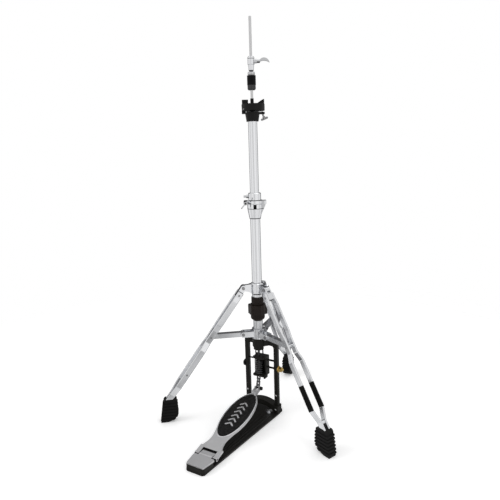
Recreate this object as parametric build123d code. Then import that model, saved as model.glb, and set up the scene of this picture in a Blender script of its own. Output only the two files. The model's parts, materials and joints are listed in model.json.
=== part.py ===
from build123d import *
import os
from math import sin, cos, radians, degrees, atan2

# Hi hat stand. Millimetres. +Z is up and the floor is Z = 0.
# The origin is on the floor under the axis of the tube. The heel of the pedal points to -Y.

# ---------------------------------------------------------------- fits
RUN = 0.06          # radial gap of a pin or shaft that turns or slides in its hole
SEATED = 0.02       # radial gap where a piece is clamped or pressed on its neighbour
SIDE = 0.3          # gap between flat faces that pass each other
LOOSE = 0.7         # radial gap at the toe pin, the open pivot of the pedal linkage

# ---------------------------------------------------------------- tubes and rod
ROD_D = 7.0
ROD_TOP = 1156.5
ROD_JOINT_Z = 560.0
UPPER_TUBE_D = 25.4
UPPER_TUBE_WALL = 1.2
UPPER_TUBE_TOP = 896.0
UPPER_TUBE_BOTTOM = 470.0
LOWER_TUBE_D = 28.6
LOWER_TUBE_WALL = 1.2
LOWER_TUBE_TOP = 613.0
COUPLING_D = ROD_D + 5.0
COUPLING_LENGTH = 32.0

# ---------------------------------------------------------------- tripod
SWIVEL_AT_REST = 8.0        # degrees, how far the tripod is turned about the tube
LEG_ANGLES = {"right": -30.0, "left": -150.0, "rear": 90.0}
LEG_LEAN = 35.3             # degrees from upright
LEG_PIVOT_R = LOWER_TUBE_D / 2 + 27.7
LEG_LENGTH = 428.0
LEG_END_Z = 55.693
LEG_PIVOT_Z = LEG_END_Z + LEG_LENGTH * cos(radians(LEG_LEAN))
STRUT_AT = 176.0            # along the leg, from its pivot to the strut pivot
HUB_PIVOT_R = LOWER_TUBE_D / 2 + 32.4
FOOT_REACH = LEG_PIVOT_R + LEG_LENGTH * sin(radians(LEG_LEAN)) + 17.68
FOOT_TALL = 72.0
FOOT_WIDE = 26.0
FOOT_RIDGE = 1.8
FOOT_RIDGES = 6
BAR_WIDE = 18.0
BAR_THICK = 6.0
BAR_UPPER_T = 14.0          # from the leg's middle plane to each bar, above the strut
BAR_LOWER_T = 19.2
BAR_FOOT_T = 8.4
STRUT_WIDE = 16.0
STRUT_TALL = 14.0
STRUT_WALL = 2.2
PIVOT_PIN_D = 6.0
TONGUE = 10.0
KNUCKLE_CHEEK = 3.6
BRACKET_BOTTOM = LEG_PIVOT_Z - 27.5
BRACKET_RING = LEG_PIVOT_Z - 18.5
BRACKET_TOP = LEG_PIVOT_Z + 14.0
BRACKET_D = LOWER_TUBE_D + 9.4
BRACKET_COLLAR_D = LOWER_TUBE_D + 2.8
STRUT_Z = LEG_PIVOT_Z - STRUT_AT * cos(radians(LEG_LEAN))
HUB_BOTTOM = STRUT_Z - 14.9
HUB_TOP = STRUT_Z + 15.6
HUB_D = LOWER_TUBE_D + 9.4
HUB_EAR = 3.6
WING_ANGLE = 150.0          # the way the bracket's wing screw points
BRACKET_SCREW_D = 8.0

# ---------------------------------------------------------------- arch frame and base
COLUMN_X = 50.5
COLUMN_Y = 18.0
COLUMN_WIDE = 13.0
COLUMN_DEEP = 14.0
COLUMN_FOOT_Z = 26.0
ARCH_TOP = HUB_BOTTOM - 3.5
ARCH_BAR = 23.0
ARCH_CORNER = 16.0
BOSS_D = LOWER_TUBE_D + 2.4
BOSS_HEAD_D = LOWER_TUBE_D + 8.4
BOSS_BOTTOM = ARCH_TOP - 33.0
BASE_THICK = 5.0
BASE_BACK_Y = 40.0
BASE_BACK_HALF = 60.0
HEEL_Y = -345.0
HEEL_HALF = 29.0
HINGE_Y = -291.0
HINGE_Z = 17.5
HINGE_HALF = 35.5
HINGE_PIN_D = 6.0
BARREL_R = 4.8
HEEL_BLOCK = 17.3
HEEL_PLATE_THICK = 4.0
TAB_HALF = 20.5
TAB_SIDE = 2.2              # from the tab's sides to the footboard's lugs
HINGE_GAP = 2.6             # from the heel plate's edge to the lugs' barrels
TAB_REACH = 15.0            # how far the heel plate's tab runs into the footboard's notch
TAB_GAP = 6.5               # from the tab's end to the footboard
BRIDGE_TOP = 39.0
BRIDGE_THICK = 16.0
SPUR_X = 35.0
SPUR_Y = -8.0
SPUR_D = 8.0

# ---------------------------------------------------------------- pedal
PEDAL_RISE = 13.0           # degrees, the footboard's slope at rest
BOARD_THICK = 7.0
BOARD_OVAL_LONG = 190.0
BOARD_OVAL_WIDE = 80.5
BOARD_OVAL_AT = 163.0       # along the board, from the hinge to the oval's middle
PAD_RIM = 3.2
PAD_DEEP = 1.6
TOE_PIN_AT = 288.0          # along the board, from the hinge to the toe pin
TOE_PIN_UP = 3.0
TOE_PIN_D = 4.0
CHAIN_PITCH = 9.525
CHAIN_LINKS = 6
PLATE_THICK = 1.2
CHAIN_PIN_D = 3.2
INNER_PLATE_X = 3.0
ROLLER_D = 5.6
LINK_TALL = 7.6

# ---------------------------------------------------------------- spring and its cage
SPRING_R = 12.4
SPRING_WIRE = 3.0
SPRING_TURNS = 7
CAGE_FLOOR_Z = 131.0
CAGE_TOP_Z = 183.0
CAGE_WALL = 4.5
CAGE_LEFT_X = -19.0
CAGE_RIGHT_X = 25.0
CAGE_BACK_Y = 19.5
CAGE_FRONT_Y = -14.0
CAGE_SIDE_Y = -1.0
CAGE_ARM_HIGH_Z = 171.0
CAGE_ARM_LOW_Z = 147.0
CAGE_HOOK = 11.5
COLLAR_THICK = 5.0
SIDE_BOLT_Z = 147.0

# ---------------------------------------------------------------- spring dial
DIAL_NUT_Z = HUB_TOP + 25.0
DIAL_RING_Z = DIAL_NUT_Z + 21.5
DIAL_SLEEVE_Z = DIAL_RING_Z + 29.0
DIAL_TOP = DIAL_SLEEVE_Z + 23.5
DIAL_NUT_D = LOWER_TUBE_D + 12.4
DIAL_RING_D = LOWER_TUBE_D + 22.4
DIAL_LOBE_D = 14.0
DIAL_SLEEVE_D = LOWER_TUBE_D + 6.4

# ---------------------------------------------------------------- height collar
CAMERA_SIDE = 30.0          # degrees, the way the collar's lug points, about the tube
COLLAR_BOTTOM = LOWER_TUBE_TOP - 2.5
COLLAR_CONE_TOP = LOWER_TUBE_TOP + 27.0
COLLAR_TOP = LOWER_TUBE_TOP + 51.5
COLLAR_D = LOWER_TUBE_D + 14.4
COLLAR_NECK_D = LOWER_TUBE_D + 3.8
LOCK_BOTTOM = COLLAR_TOP + SIDE
LOCK_TOP = LOCK_BOTTOM + 20.0
LOCK_D = UPPER_TUBE_D + 11.0
LOCK_KEY_D = 5.0
CLAMP_BOLT_R = LOWER_TUBE_D / 2 + 11.7
CLAMP_BOLT_Z = COLLAR_TOP - 7.0
CLAMP_EAR = 10.5
CLAMP_BOLT_D = 6.0

# ---------------------------------------------------------------- seat
CONE_BOTTOM = 883.0
CONE_TOP = 908.0
CONE_BOTTOM_D = UPPER_TUBE_D + 9.0
CONE_TOP_D = UPPER_TUBE_D + 15.6
POST_D = ROD_D + 2.5
POST_TOP = 944.5
CUP_BOTTOM = 911.0
CUP_TOP = 930.0
CUP_D = 64.0
CUP_SHIFT = 2.5
EAR_TOP = 942.0
CUP_HOLE_D = 17.0
SEAT_HINGE_R = 24.0
SEAT_HORN = 4.0
SEAT_HINGE_Z = CUP_BOTTOM + 5.0
SEAT_HINGE_D = 4.0
TILT_SCREW_R = 31.0
TILT_SCREW_D = 5.0
TILT_LUG = 6.0
TILT_LUG_D = 13.0

# ---------------------------------------------------------------- clutch
CLUTCH_TOP = 1054.0
CLUTCH_TAPER_Z = 1033.5
CLUTCH_NECK_Z = 1018.0
CLUTCH_BODY_D = ROD_D + 11.4
CLUTCH_NECK_D = ROD_D + 4.0
CLUTCH_SLEEVE_D = ROD_D + 2.6
LOCK_NUT_Z = 1009.2
LOCK_NUT_TOP = 1014.2
LOCK_NUT_D = 19.6
WASHER_Z = 1004.8
WASHER_D = 19.0
FELT_D = 24.0
FELT_BOTTOM = 979.8
BOTTOM_NUT_Z = 966.8
BOTTOM_NUT_D = 22.0
CLUTCH_SCREW_Z = 1041.5
CLUTCH_SCREW_D = 6.0


# ================================================================ small helpers
def rod_between(z0, z1, diameter, x=0.0, y=0.0):
    """An upright round bar."""
    return Pos(x, y, (z0 + z1) / 2) * Cylinder(diameter / 2, z1 - z0)


def pipe(z0, z1, outer, inner):
    """An upright tube."""
    return rod_between(z0, z1, outer) - rod_between(z0 - 1, z1 + 1, inner)


def block(x0, x1, y0, y1, z0, z1):
    """A box from its six faces, each pair in either order."""
    return Pos((x0 + x1) / 2, (y0 + y1) / 2, (z0 + z1) / 2) * Box(abs(x1 - x0), abs(y1 - y0), abs(z1 - z0))


def turned_profile(points):
    """A solid of revolution about Z from radius and height pairs."""
    outline = Polyline(*[(r, z) for r, z in points], close=True)
    return revolve(Plane.XZ * make_face(outline), Axis.Z)


def bar_x(x0, x1, diameter, y=0.0, z=0.0):
    """A round bar along X."""
    return Pos((x0 + x1) / 2, y, z) * Rot(0, 90, 0) * Cylinder(diameter / 2, x1 - x0)


def bar_y(y0, y1, diameter, x=0.0, z=0.0):
    """A round bar along Y."""
    return Pos(x, (y0 + y1) / 2, z) * Rot(90, 0, 0) * Cylinder(diameter / 2, y1 - y0)


def softened(shape, axis, size):
    """Round the edges that run along an axis."""
    return fillet(shape.edges().filter_by(axis), size)


def hexagon_x(x0, x1, across, y, z):
    """A hexagonal bar along X, given across its flats."""
    section = RegularPolygon(across / 2, 6, major_radius=False)
    return Pos(x0, y, z) * Rot(0, 90, 0) * extrude(section, amount=x1 - x0)


def wing(span, tall, thick, hub_d, hub_long, at):
    """A wing head: a hub along +X from 0, with two flat wings along Z, centred at X = at."""
    head = bar_x(0, hub_long, hub_d)
    ear = SlotOverall(span / 2 + hub_d * 0.3, tall)
    for side in (1, -1):
        reach = Pos(at, 0, side * span / 4) * Rot(0, 90, 0) * Rot(90, 0, 0)
        head += reach * extrude(ear, amount=thick / 2, both=True)
    return head


# ================================================================ base and frame
def make_base_plate():
    outline = Polyline(
        (-HEEL_HALF, HEEL_Y), (HEEL_HALF, HEEL_Y), (HINGE_HALF - 2, HINGE_Y),
        (BASE_BACK_HALF, BASE_BACK_Y - 28), (BASE_BACK_HALF, BASE_BACK_Y),
        (-BASE_BACK_HALF, BASE_BACK_Y), (-BASE_BACK_HALF, BASE_BACK_Y - 28),
        (-(HINGE_HALF - 2), HINGE_Y), close=True)
    sheet = extrude(make_face(outline), amount=BASE_THICK)
    sheet = softened(sheet, Axis.Z, 9)
    heel = block(-HINGE_HALF, HINGE_HALF, HEEL_Y - 1, HINGE_Y - BARREL_R - 2, 0, HEEL_BLOCK)
    plan = extrude(offset(make_face(outline), -0.6), amount=HEEL_BLOCK)
    sheet += softened(heel & plan, Axis.Z, 9)
    tread_y = (HINGE_Y + 30, -30)
    for x in (-24, -12, 0, 12, 24):
        sheet += block(x - 1.2, x + 1.2, tread_y[0], tread_y[1], BASE_THICK - 1, BASE_THICK + 1)
    for side in (1, -1):
        inner = side * (COLUMN_X - COLUMN_WIDE / 2)
        lug = block(inner, side * (BASE_BACK_HALF - 1), 4, 32, BASE_THICK - 1, COLUMN_FOOT_Z)
        sheet += softened(lug, Axis.Z, 3)
        sheet -= rod_between(-1, BASE_THICK + 5, SPUR_D + 2 * RUN, side * SPUR_X, SPUR_Y)
    return sheet


def make_anchor_spur(side):
    stem = rod_between(1.5, BASE_THICK + 9, SPUR_D, side * SPUR_X, SPUR_Y)
    collar_z = BASE_THICK + SIDE
    knob = rod_between(collar_z, collar_z + 5, 13, side * SPUR_X, SPUR_Y)
    ear = extrude(SlotOverall(20, 9), amount=1.5, both=True)
    head = Pos(side * SPUR_X, SPUR_Y, BASE_THICK + 11) * Rot(0, 0, 30) * Rot(90, 0, 0) * ear
    return stem + knob + head


def make_rear_bridge():
    inner = COLUMN_X - COLUMN_WIDE / 2 - SEATED
    low, high, deep = BRIDGE_TOP - 12, BRIDGE_TOP, BRIDGE_THICK
    top = ThreePointArc((-inner, low), (0, high), (inner, low))
    under = ThreePointArc((-inner, low - deep), (0, high - deep), (inner, low - deep))
    ends = [Line((-inner, low), (-inner, low - deep)), Line((inner, low), (inner, low - deep))]
    face = make_face(Wire([*top.edges(), *under.edges(), *ends[0].edges(), *ends[1].edges()]))
    return Pos(0, 18, 0) * extrude(Plane.XZ * face, amount=13, both=True)


def tube_seat_z():
    """The lower tube stands on the bottom of its socket in the crossbar."""
    return ARCH_TOP - ARCH_BAR


def make_arch_frame():
    half = COLUMN_X + COLUMN_WIDE / 2
    whole = block(-half, half, -COLUMN_DEEP / 2, COLUMN_DEEP / 2, COLUMN_FOOT_Z, ARCH_TOP)
    window = block(-half + COLUMN_WIDE, half - COLUMN_WIDE, -COLUMN_DEEP, COLUMN_DEEP,
                   COLUMN_FOOT_Z - 1, ARCH_TOP - ARCH_BAR)
    outer = [e for e in whole.edges().filter_by(Axis.Y) if e.center().Z > ARCH_TOP - 1]
    whole = fillet(outer, ARCH_CORNER)
    inner = [e for e in window.edges().filter_by(Axis.Y) if e.center().Z > COLUMN_FOOT_Z]
    arch = whole - fillet(inner, ARCH_CORNER / 2)
    arch = chamfer([e for e in arch.edges().filter_by(Axis.Z) if e.length > 100], 1.5)
    arch = Pos(0, COLUMN_Y, 0) * arch
    web_z = ARCH_TOP - ARCH_BAR
    root = BOSS_HEAD_D / 2 + 14
    web = make_face(Polyline((-BOSS_HEAD_D / 2, 0), (BOSS_HEAD_D / 2, 0), (root, COLUMN_Y),
                             (-root, COLUMN_Y), close=True))
    arch += Pos(0, 0, web_z) * extrude(web, amount=ARCH_BAR)
    arch += rod_between(web_z, HUB_BOTTOM - SIDE, BOSS_HEAD_D)
    arch += rod_between(BOSS_BOTTOM, web_z + 1, BOSS_D)
    arch -= rod_between(tube_seat_z(), HUB_BOTTOM + 1, LOWER_TUBE_D + 2 * SEATED)
    return arch - rod_between(BOSS_BOTTOM - 1, tube_seat_z() + 1, ROD_D + 2 * SIDE)


def make_heel_plate():
    z0 = HEEL_BLOCK
    z1 = z0 + HEEL_PLATE_THICK
    front = HINGE_Y - BARREL_R - HINGE_GAP
    outline = Polyline((-HEEL_HALF + 2, HEEL_Y + 3), (HEEL_HALF - 2, HEEL_Y + 3),
                       (HINGE_HALF - 2, front), (-(HINGE_HALF - 2), front), close=True)
    plate = softened(extrude(make_face(outline), amount=z1 - z0), Axis.Z, 4)
    plate = Pos(0, 0, z0) * plate
    tab = block(-TAB_HALF, TAB_HALF, front - 4, HINGE_Y + TAB_REACH, z0, z1)
    plate += tab
    plate += bar_x(-TAB_HALF, TAB_HALF, 2 * BARREL_R, HINGE_Y, HINGE_Z)
    block_end = HINGE_Y - BARREL_R - 2 + SEATED
    plate += block(-TAB_HALF, TAB_HALF, block_end, HINGE_Y, BASE_THICK + SEATED, z0)
    return plate - bar_x(-50, 50, HINGE_PIN_D + 2 * SEATED, HINGE_Y, HINGE_Z)


def make_heel_hinge_pin():
    return bar_x(-HINGE_HALF, HINGE_HALF, HINGE_PIN_D, HINGE_Y, HINGE_Z)


# ================================================================ pedal
def on_board(shape):
    """Place a shape drawn with +X along the board, from the hinge, and +Z out of its top."""
    return Pos(0, HINGE_Y, HINGE_Z) * Rot(PEDAL_RISE, 0, 0) * Rot(0, 0, 90) * shape


def board_outline():
    half = HINGE_HALF
    neck = BOARD_OVAL_WIDE * 0.28
    root = TAB_REACH + TAB_GAP
    side = Spline((root, half - 1), (40, neck + 4), (62, neck), (92, neck + 5.5), (112, half - 3))
    mirrored = mirror(side, about=Plane.XZ)
    ends = [Line((root, half - 1), (root, -(half - 1))), Line((112, half - 3), (112, -(half - 3)))]
    waist = make_face(Wire([*side.edges(), *mirrored.edges(), *ends[0].edges(), *ends[1].edges()]))
    oval = Pos(BOARD_OVAL_AT, 0) * Ellipse(BOARD_OVAL_LONG / 2, BOARD_OVAL_WIDE / 2)
    return waist + oval


def pad_outline(shrink):
    return Pos(BOARD_OVAL_AT, 0) * Ellipse(BOARD_OVAL_LONG / 2 - PAD_RIM - shrink,
                                           BOARD_OVAL_WIDE / 2 - PAD_RIM - shrink)


def make_footboard():
    board = Pos(0, 0, -BOARD_THICK / 2) * extrude(board_outline(), amount=BOARD_THICK)
    lug_low = -2.0
    for side in (1, -1):
        y0, y1 = side * (TAB_HALF + TAB_SIDE), side * HINGE_HALF
        board += block(0, TAB_REACH + TAB_GAP + 8, y0, y1, lug_low, BOARD_THICK / 2)
        barrel = Pos(0, (y0 + y1) / 2, 0) * Rot(90, 0, 0) * Cylinder(BARREL_R, abs(y1 - y0))
        board += barrel
    tip = BOARD_OVAL_AT + BOARD_OVAL_LONG / 2
    board += block(tip - 10, tip + 6, -7, 7, -BOARD_THICK / 2, BOARD_THICK / 2)
    recess = Pos(0, 0, BOARD_THICK / 2 - PAD_DEEP) * extrude(pad_outline(0), amount=10)
    board -= recess
    board -= Rot(90, 0, 0) * Cylinder(HINGE_PIN_D / 2 + RUN, 200)
    return on_board(board)


def make_footboard_pad():
    z0 = BOARD_THICK / 2 - PAD_DEEP
    pad = Pos(0, 0, z0) * extrude(pad_outline(0.4), amount=PAD_DEEP + 0.8)
    return on_board(pad)


def make_toe_clip():
    inner = INNER_PLATE_X + PLATE_THICK + 1.2
    outer = inner + 2.4
    tip = BOARD_OVAL_AT + BOARD_OVAL_LONG / 2 + 6 + SEATED
    clip = block(tip, tip + 8, -outer, outer, -6, 7)
    for side in (1, -1):
        cheek = SlotOverall(TOE_PIN_AT - tip + 12, 13)
        mid = (tip + TOE_PIN_AT) / 2 + 1
        cheek = Pos(mid, side * (inner + outer) / 2, TOE_PIN_UP - 1.5) * Rot(90, 0, 0) * extrude(
            cheek, amount=(outer - inner) / 2, both=True)
        clip += cheek & block(tip, tip + 80, -50, 50, -50, 50)
    bore = Pos(TOE_PIN_AT, 0, TOE_PIN_UP) * Rot(90, 0, 0) * Cylinder(TOE_PIN_D / 2 + SEATED, 60)
    return on_board(clip - bore)


def make_toe_pin():
    outer = INNER_PLATE_X + PLATE_THICK + 3.6
    stem = Rot(90, 0, 0) * Cylinder(TOE_PIN_D / 2, 2 * outer + 3)
    knob = Pos(0, -(outer + 3.6), 0) * Rot(90, 0, 0) * Cylinder(5.2, 6)
    nut = Pos(0, outer + 1.6, 0) * Rot(90, 0, 0) * Cylinder(3.6, 2.6)
    return on_board(Pos(TOE_PIN_AT, 0, TOE_PIN_UP) * (stem + knob + nut))


def toe_point():
    """The toe pin's place in Y and Z."""
    rise = radians(PEDAL_RISE)
    y = HINGE_Y + TOE_PIN_AT * cos(rise) - TOE_PIN_UP * sin(rise)
    z = HINGE_Z + TOE_PIN_AT * sin(rise) + TOE_PIN_UP * cos(rise)
    return y, z


def rod_eye_z():
    """The pull rod's eye is where the taut chain ends above the toe pin."""
    y, z = toe_point()
    return z + ((CHAIN_LINKS * CHAIN_PITCH) ** 2 - y * y) ** 0.5


def link_plate(x, hole_a, hole_b):
    """One chain plate, from a pin at 0 to the next pin below it."""
    drop = CHAIN_PITCH
    plate = Rot(0, 90, 0) * extrude(SlotOverall(drop + LINK_TALL, LINK_TALL),
                                    amount=PLATE_THICK / 2, both=True)
    plate = Pos(x, 0, -drop / 2) * plate
    plate -= bar_x(x - 3, x + 3, hole_a, 0, 0)
    return plate - bar_x(x - 3, x + 3, hole_b, 0, -drop)


def make_drive_chain():
    pieces = []
    pin_d = CHAIN_PIN_D
    pin_half = INNER_PLATE_X + 2 * PLATE_THICK + 0.6
    outer_x = INNER_PLATE_X + PLATE_THICK + 0.15
    for i in range(CHAIN_LINKS):
        x = outer_x if i % 2 == 0 else INNER_PLATE_X
        last = i == CHAIN_LINKS - 1
        lower = TOE_PIN_D + 2 * LOOSE if last else pin_d - 0.2
        for side in (1, -1):
            plate = link_plate(side * x, pin_d - 0.2, lower)
            pieces.append(Pos(0, 0, -i * CHAIN_PITCH) * plate)
        if i > 0:
            z = -i * CHAIN_PITCH
            roller = bar_x(-INNER_PLATE_X + 0.7, INNER_PLATE_X - 0.7, ROLLER_D, 0, z)
            pieces.append(roller + bar_x(-pin_half, pin_half, pin_d, 0, z))
    pieces.append(bar_x(-pin_half, pin_half, pin_d, 0, 0))
    chain = pieces[0]
    for piece in pieces[1:]:
        chain += piece
    toe_y, toe_z = toe_point()
    lean = degrees(atan2(toe_y, rod_eye_z() - toe_z))
    return Pos(0, 0, rod_eye_z()) * Rot(lean, 0, 0) * chain


# ================================================================ rod, spring and cage
def make_pull_rod_upper():
    return rod_between(ROD_JOINT_Z + 0.5, ROD_TOP, ROD_D)


def make_pull_rod_lower():
    eye_z = rod_eye_z()
    eye_r = 4.4
    tongue = 2 * (INNER_PLATE_X + 0.15 - 0.6)
    rod = rod_between(eye_z + 6, ROD_JOINT_Z - 0.5, ROD_D)
    eye = bar_x(-tongue / 2, tongue / 2, 2 * eye_r, 0, eye_z)
    eye += block(-tongue / 2, tongue / 2, -3, 3, eye_z, eye_z + 10)
    return rod + eye - bar_x(-10, 10, CHAIN_PIN_D + 2 * RUN, 0, eye_z)


def make_rod_coupling():
    half = COUPLING_LENGTH / 2
    return pipe(ROD_JOINT_Z - half, ROD_JOINT_Z + half, COUPLING_D, ROD_D + 2 * SEATED)


def make_spring_collar():
    top = CAGE_TOP_Z - SIDE
    return pipe(top - COLLAR_THICK, top, 2 * SPRING_R + 2.4, ROD_D + 2 * SEATED)


def make_return_spring():
    z0 = CAGE_FLOOR_Z + SPRING_WIRE / 2 + 0.05
    z1 = CAGE_TOP_Z - SIDE - COLLAR_THICK - SPRING_WIRE / 2 - 0.05
    path = Helix((z1 - z0) / SPRING_TURNS, z1 - z0, SPRING_R)
    section = Plane(origin=path @ 0, z_dir=path % 0) * Circle(SPRING_WIRE / 2)
    return Pos(0, 0, z0) * sweep(section, path=path, is_frenet=True)


def make_spring_cage():
    left, right, back, front = CAGE_LEFT_X, CAGE_RIGHT_X, CAGE_BACK_Y, CAGE_FRONT_Y
    z0, z1 = CAGE_FLOOR_Z, CAGE_TOP_Z
    wall = CAGE_WALL
    cage = block(left, right, back - wall, back, z0 - wall, z1 + wall)
    cage += block(right - wall, right, CAGE_SIDE_Y, back, z0 - wall, z1 + wall)
    for z in (z0 - wall, z1):
        flange = block(left + 4, right, front - 3, back, z, z + wall)
        corner = [e for e in flange.edges().filter_by(Axis.Z) if e.center().Y < 0]
        cage += fillet(corner, 6)
    cage -= rod_between(z1 - 1, z1 + wall + 1, ROD_D + 2 * SIDE)
    half = INNER_PLATE_X + 2 * PLATE_THICK + 1.8
    cage -= softened(block(-half, half, -9.5, 6.5, z0 - wall - 1, z0 + 1), Axis.Z, 5)
    inner = COLUMN_X - COLUMN_WIDE / 2 - SEATED
    arm_y = back - wall / 2
    for z in (CAGE_ARM_HIGH_Z, CAGE_ARM_LOW_Z):
        cage += bar_x(right - 2, inner, 6, arm_y, z)
    cage += bar_x(-inner, left + 2, 4.6, arm_y, CAGE_ARM_HIGH_Z - 3)
    hook_end = z0 - CAGE_HOOK
    hook = block(right - wall, right, -4, 8, hook_end, z0 - wall + 1)
    hook += block(right - wall, right, -11, -4, hook_end, hook_end + 5)
    return cage + hook


def make_cage_hangers():
    z0 = CAGE_TOP_Z + CAGE_WALL
    left = rod_between(z0, BOSS_BOTTOM, 3.4, -12, 2)
    right = rod_between(z0, BOSS_BOTTOM, 4.0, 13, 2)
    return Compound(children=[left, right])


def make_side_bolt_left():
    face = COLUMN_X + COLUMN_WIDE / 2 + SEATED
    disc = bar_x(-face - 5, -face, 21, COLUMN_Y, SIDE_BOLT_Z)
    return disc + bar_x(-face - 8, -face - 4, 13, COLUMN_Y, SIDE_BOLT_Z)


def make_side_bolt_right():
    face = COLUMN_X + COLUMN_WIDE / 2 + SEATED
    washer = bar_x(face, face + 2, 20, COLUMN_Y, SIDE_BOLT_Z)
    return washer + hexagon_x(face + 2, face + 11, 15, COLUMN_Y, SIDE_BOLT_Z) + bar_x(
        face + 10, face + 16, 8, COLUMN_Y, SIDE_BOLT_Z)


# ================================================================ tubes and collars
def make_lower_tube():
    inner = LOWER_TUBE_D - 2 * LOWER_TUBE_WALL
    return pipe(tube_seat_z(), LOWER_TUBE_TOP, LOWER_TUBE_D, inner)


def make_upper_tube():
    inner = UPPER_TUBE_D - 2 * UPPER_TUBE_WALL
    return pipe(UPPER_TUBE_BOTTOM, UPPER_TUBE_TOP, UPPER_TUBE_D, inner)


def make_tube_bushing():
    bore = UPPER_TUBE_D + 2 * RUN
    return pipe(LOWER_TUBE_TOP, COLLAR_TOP - 4, LOWER_TUBE_D, bore)


def make_height_collar():
    neck_r, r = COLLAR_NECK_D / 2, COLLAR_D / 2
    lip = r + 1.2
    body = turned_profile([(0, COLLAR_BOTTOM), (neck_r, COLLAR_BOTTOM), (r, COLLAR_CONE_TOP),
                           (r, COLLAR_TOP - 12), (lip, COLLAR_TOP - 10), (lip, COLLAR_TOP - 1.5),
                           (lip - 1.5, COLLAR_TOP), (0, COLLAR_TOP)])
    lug = block(16, 33, -8, 8, COLLAR_TOP - 12, COLLAR_TOP - 1)
    body += softened(lug, Axis.Z, 5)
    gusset = make_face(Polyline((neck_r - 2, COLLAR_BOTTOM + 3), (32, COLLAR_TOP - 11),
                                (neck_r - 2, COLLAR_TOP - 11), close=True))
    body += softened(extrude(Plane.XZ * gusset, amount=6.5, both=True), Axis.Y, 1)
    ears = block(-CLAMP_BOLT_R - 6, -14, -CLAMP_EAR, CLAMP_EAR, COLLAR_TOP - 13, COLLAR_TOP - 1)
    body += softened(ears, Axis.Y, 3)
    slit = block(-40, -10, -1.4, 1.4, COLLAR_CONE_TOP - 16, COLLAR_TOP + 1)
    body -= slit
    z = CLAMP_BOLT_Z
    body -= bar_y(-30, 30, CLAMP_BOLT_D + 2 * RUN, -CLAMP_BOLT_R, z)
    window = block(-4, 5, -40, -10, COLLAR_CONE_TOP, COLLAR_TOP - 12)
    body -= window
    body -= rod_between(COLLAR_BOTTOM - 1, COLLAR_TOP - 4, LOWER_TUBE_D + 2 * SEATED)
    body -= rod_between(COLLAR_TOP - 10, COLLAR_TOP + 1, UPPER_TUBE_D + 2 * SIDE)
    return Rot(0, 0, CAMERA_SIDE) * body


def make_height_bolt():
    z = CLAMP_BOLT_Z
    face = CLAMP_EAR + SEATED
    bolt = bar_y(-32, face, CLAMP_BOLT_D, -CLAMP_BOLT_R, z)
    head = bar_y(face, face + 4, 8, -CLAMP_BOLT_R, z)
    return Rot(0, 0, CAMERA_SIDE) * (bolt + head)


def make_height_wing_nut():
    z = CLAMP_BOLT_Z
    nut = Rot(0, 0, -90) * wing(34, 6, 3, 10.5, 19, 15.5) - bar_y(-30, 2, CLAMP_BOLT_D + 2 * RUN)
    return Rot(0, 0, CAMERA_SIDE) * Pos(-CLAMP_BOLT_R, -CLAMP_EAR - SIDE, z) * Rot(0, 40, 0) * nut


def make_memory_lock():
    r = LOCK_D / 2
    ring = turned_profile([(0, LOCK_BOTTOM), (r, LOCK_BOTTOM), (r, LOCK_TOP - 1.5),
                           (r - 1.5, LOCK_TOP), (0, LOCK_TOP)])
    ring -= rod_between(LOCK_BOTTOM - 1, LOCK_TOP + 1, UPPER_TUBE_D + 2 * RUN)
    key_z = (LOCK_BOTTOM + LOCK_TOP) / 2
    ring += bar_x(-r - 3, -r + 3, 10, 0, key_z)
    ring -= bar_x(-r - 10, 0, LOCK_KEY_D + 2 * RUN, 0, key_z)
    slit = block(10, 40, -1, 1, LOCK_BOTTOM - 1, LOCK_TOP + 1)
    return Rot(0, 0, CAMERA_SIDE) * (ring - slit)


def make_memory_lock_key():
    key_z = (LOCK_BOTTOM + LOCK_TOP) / 2
    face = LOCK_D / 2 + 3 + SIDE
    half = LOCK_KEY_D / 2 + 0.4
    key = bar_x(-face - 1, -UPPER_TUBE_D / 2 - SIDE, LOCK_KEY_D, 0, key_z)
    key += bar_x(-face - 2.4, -face, 9, 0, key_z)
    head = block(-face - 10, -face - 2, -half, half, key_z - half, key_z + half)
    return Rot(0, 0, CAMERA_SIDE) * (key + softened(head, Axis.X, 0.6))


def dial_ring_outline():
    outline = Circle(DIAL_RING_D / 2)
    for i in range(6):
        outline += Rot(0, 0, 60 * i + 20) * Pos(DIAL_RING_D / 2 - 1.5, 0) * Circle(DIAL_LOBE_D / 2 - 2)
    return outline


def make_dial_ring():
    ring = Pos(0, 0, DIAL_RING_Z) * extrude(dial_ring_outline(), amount=DIAL_SLEEVE_Z - DIAL_RING_Z - SIDE)
    ring = chamfer(ring.faces().sort_by(Axis.Z)[-1].edges(), 1.5)
    return ring - rod_between(0, 500, LOWER_TUBE_D + 2 * RUN)


def make_dial_sleeve():
    return pipe(DIAL_SLEEVE_Z, DIAL_TOP, DIAL_SLEEVE_D, LOWER_TUBE_D + 2 * SEATED)


def make_dial_nut():
    r = DIAL_NUT_D / 2
    top = DIAL_RING_Z - SIDE
    nut = turned_profile([(0, DIAL_NUT_Z), (r - 7, DIAL_NUT_Z), (r, DIAL_NUT_Z + 7), (r, top), (0, top)])
    return nut - rod_between(0, 500, LOWER_TUBE_D + 2 * SEATED)


# ================================================================ tripod
def around(angle, shape):
    """Turn a shape drawn along +X to the direction of one leg."""
    return Rot(0, 0, angle + SWIVEL_AT_REST) * shape


def on_leg(shape):
    """Place a shape drawn with +X down the leg, from its pivot, and +Z out of its back."""
    return Pos(LEG_PIVOT_R, 0, LEG_PIVOT_Z) * Rot(0, 90 - LEG_LEAN, 0) * shape


def strut_length():
    return LEG_PIVOT_R + STRUT_AT * sin(radians(LEG_LEAN)) - HUB_PIVOT_R


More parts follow.
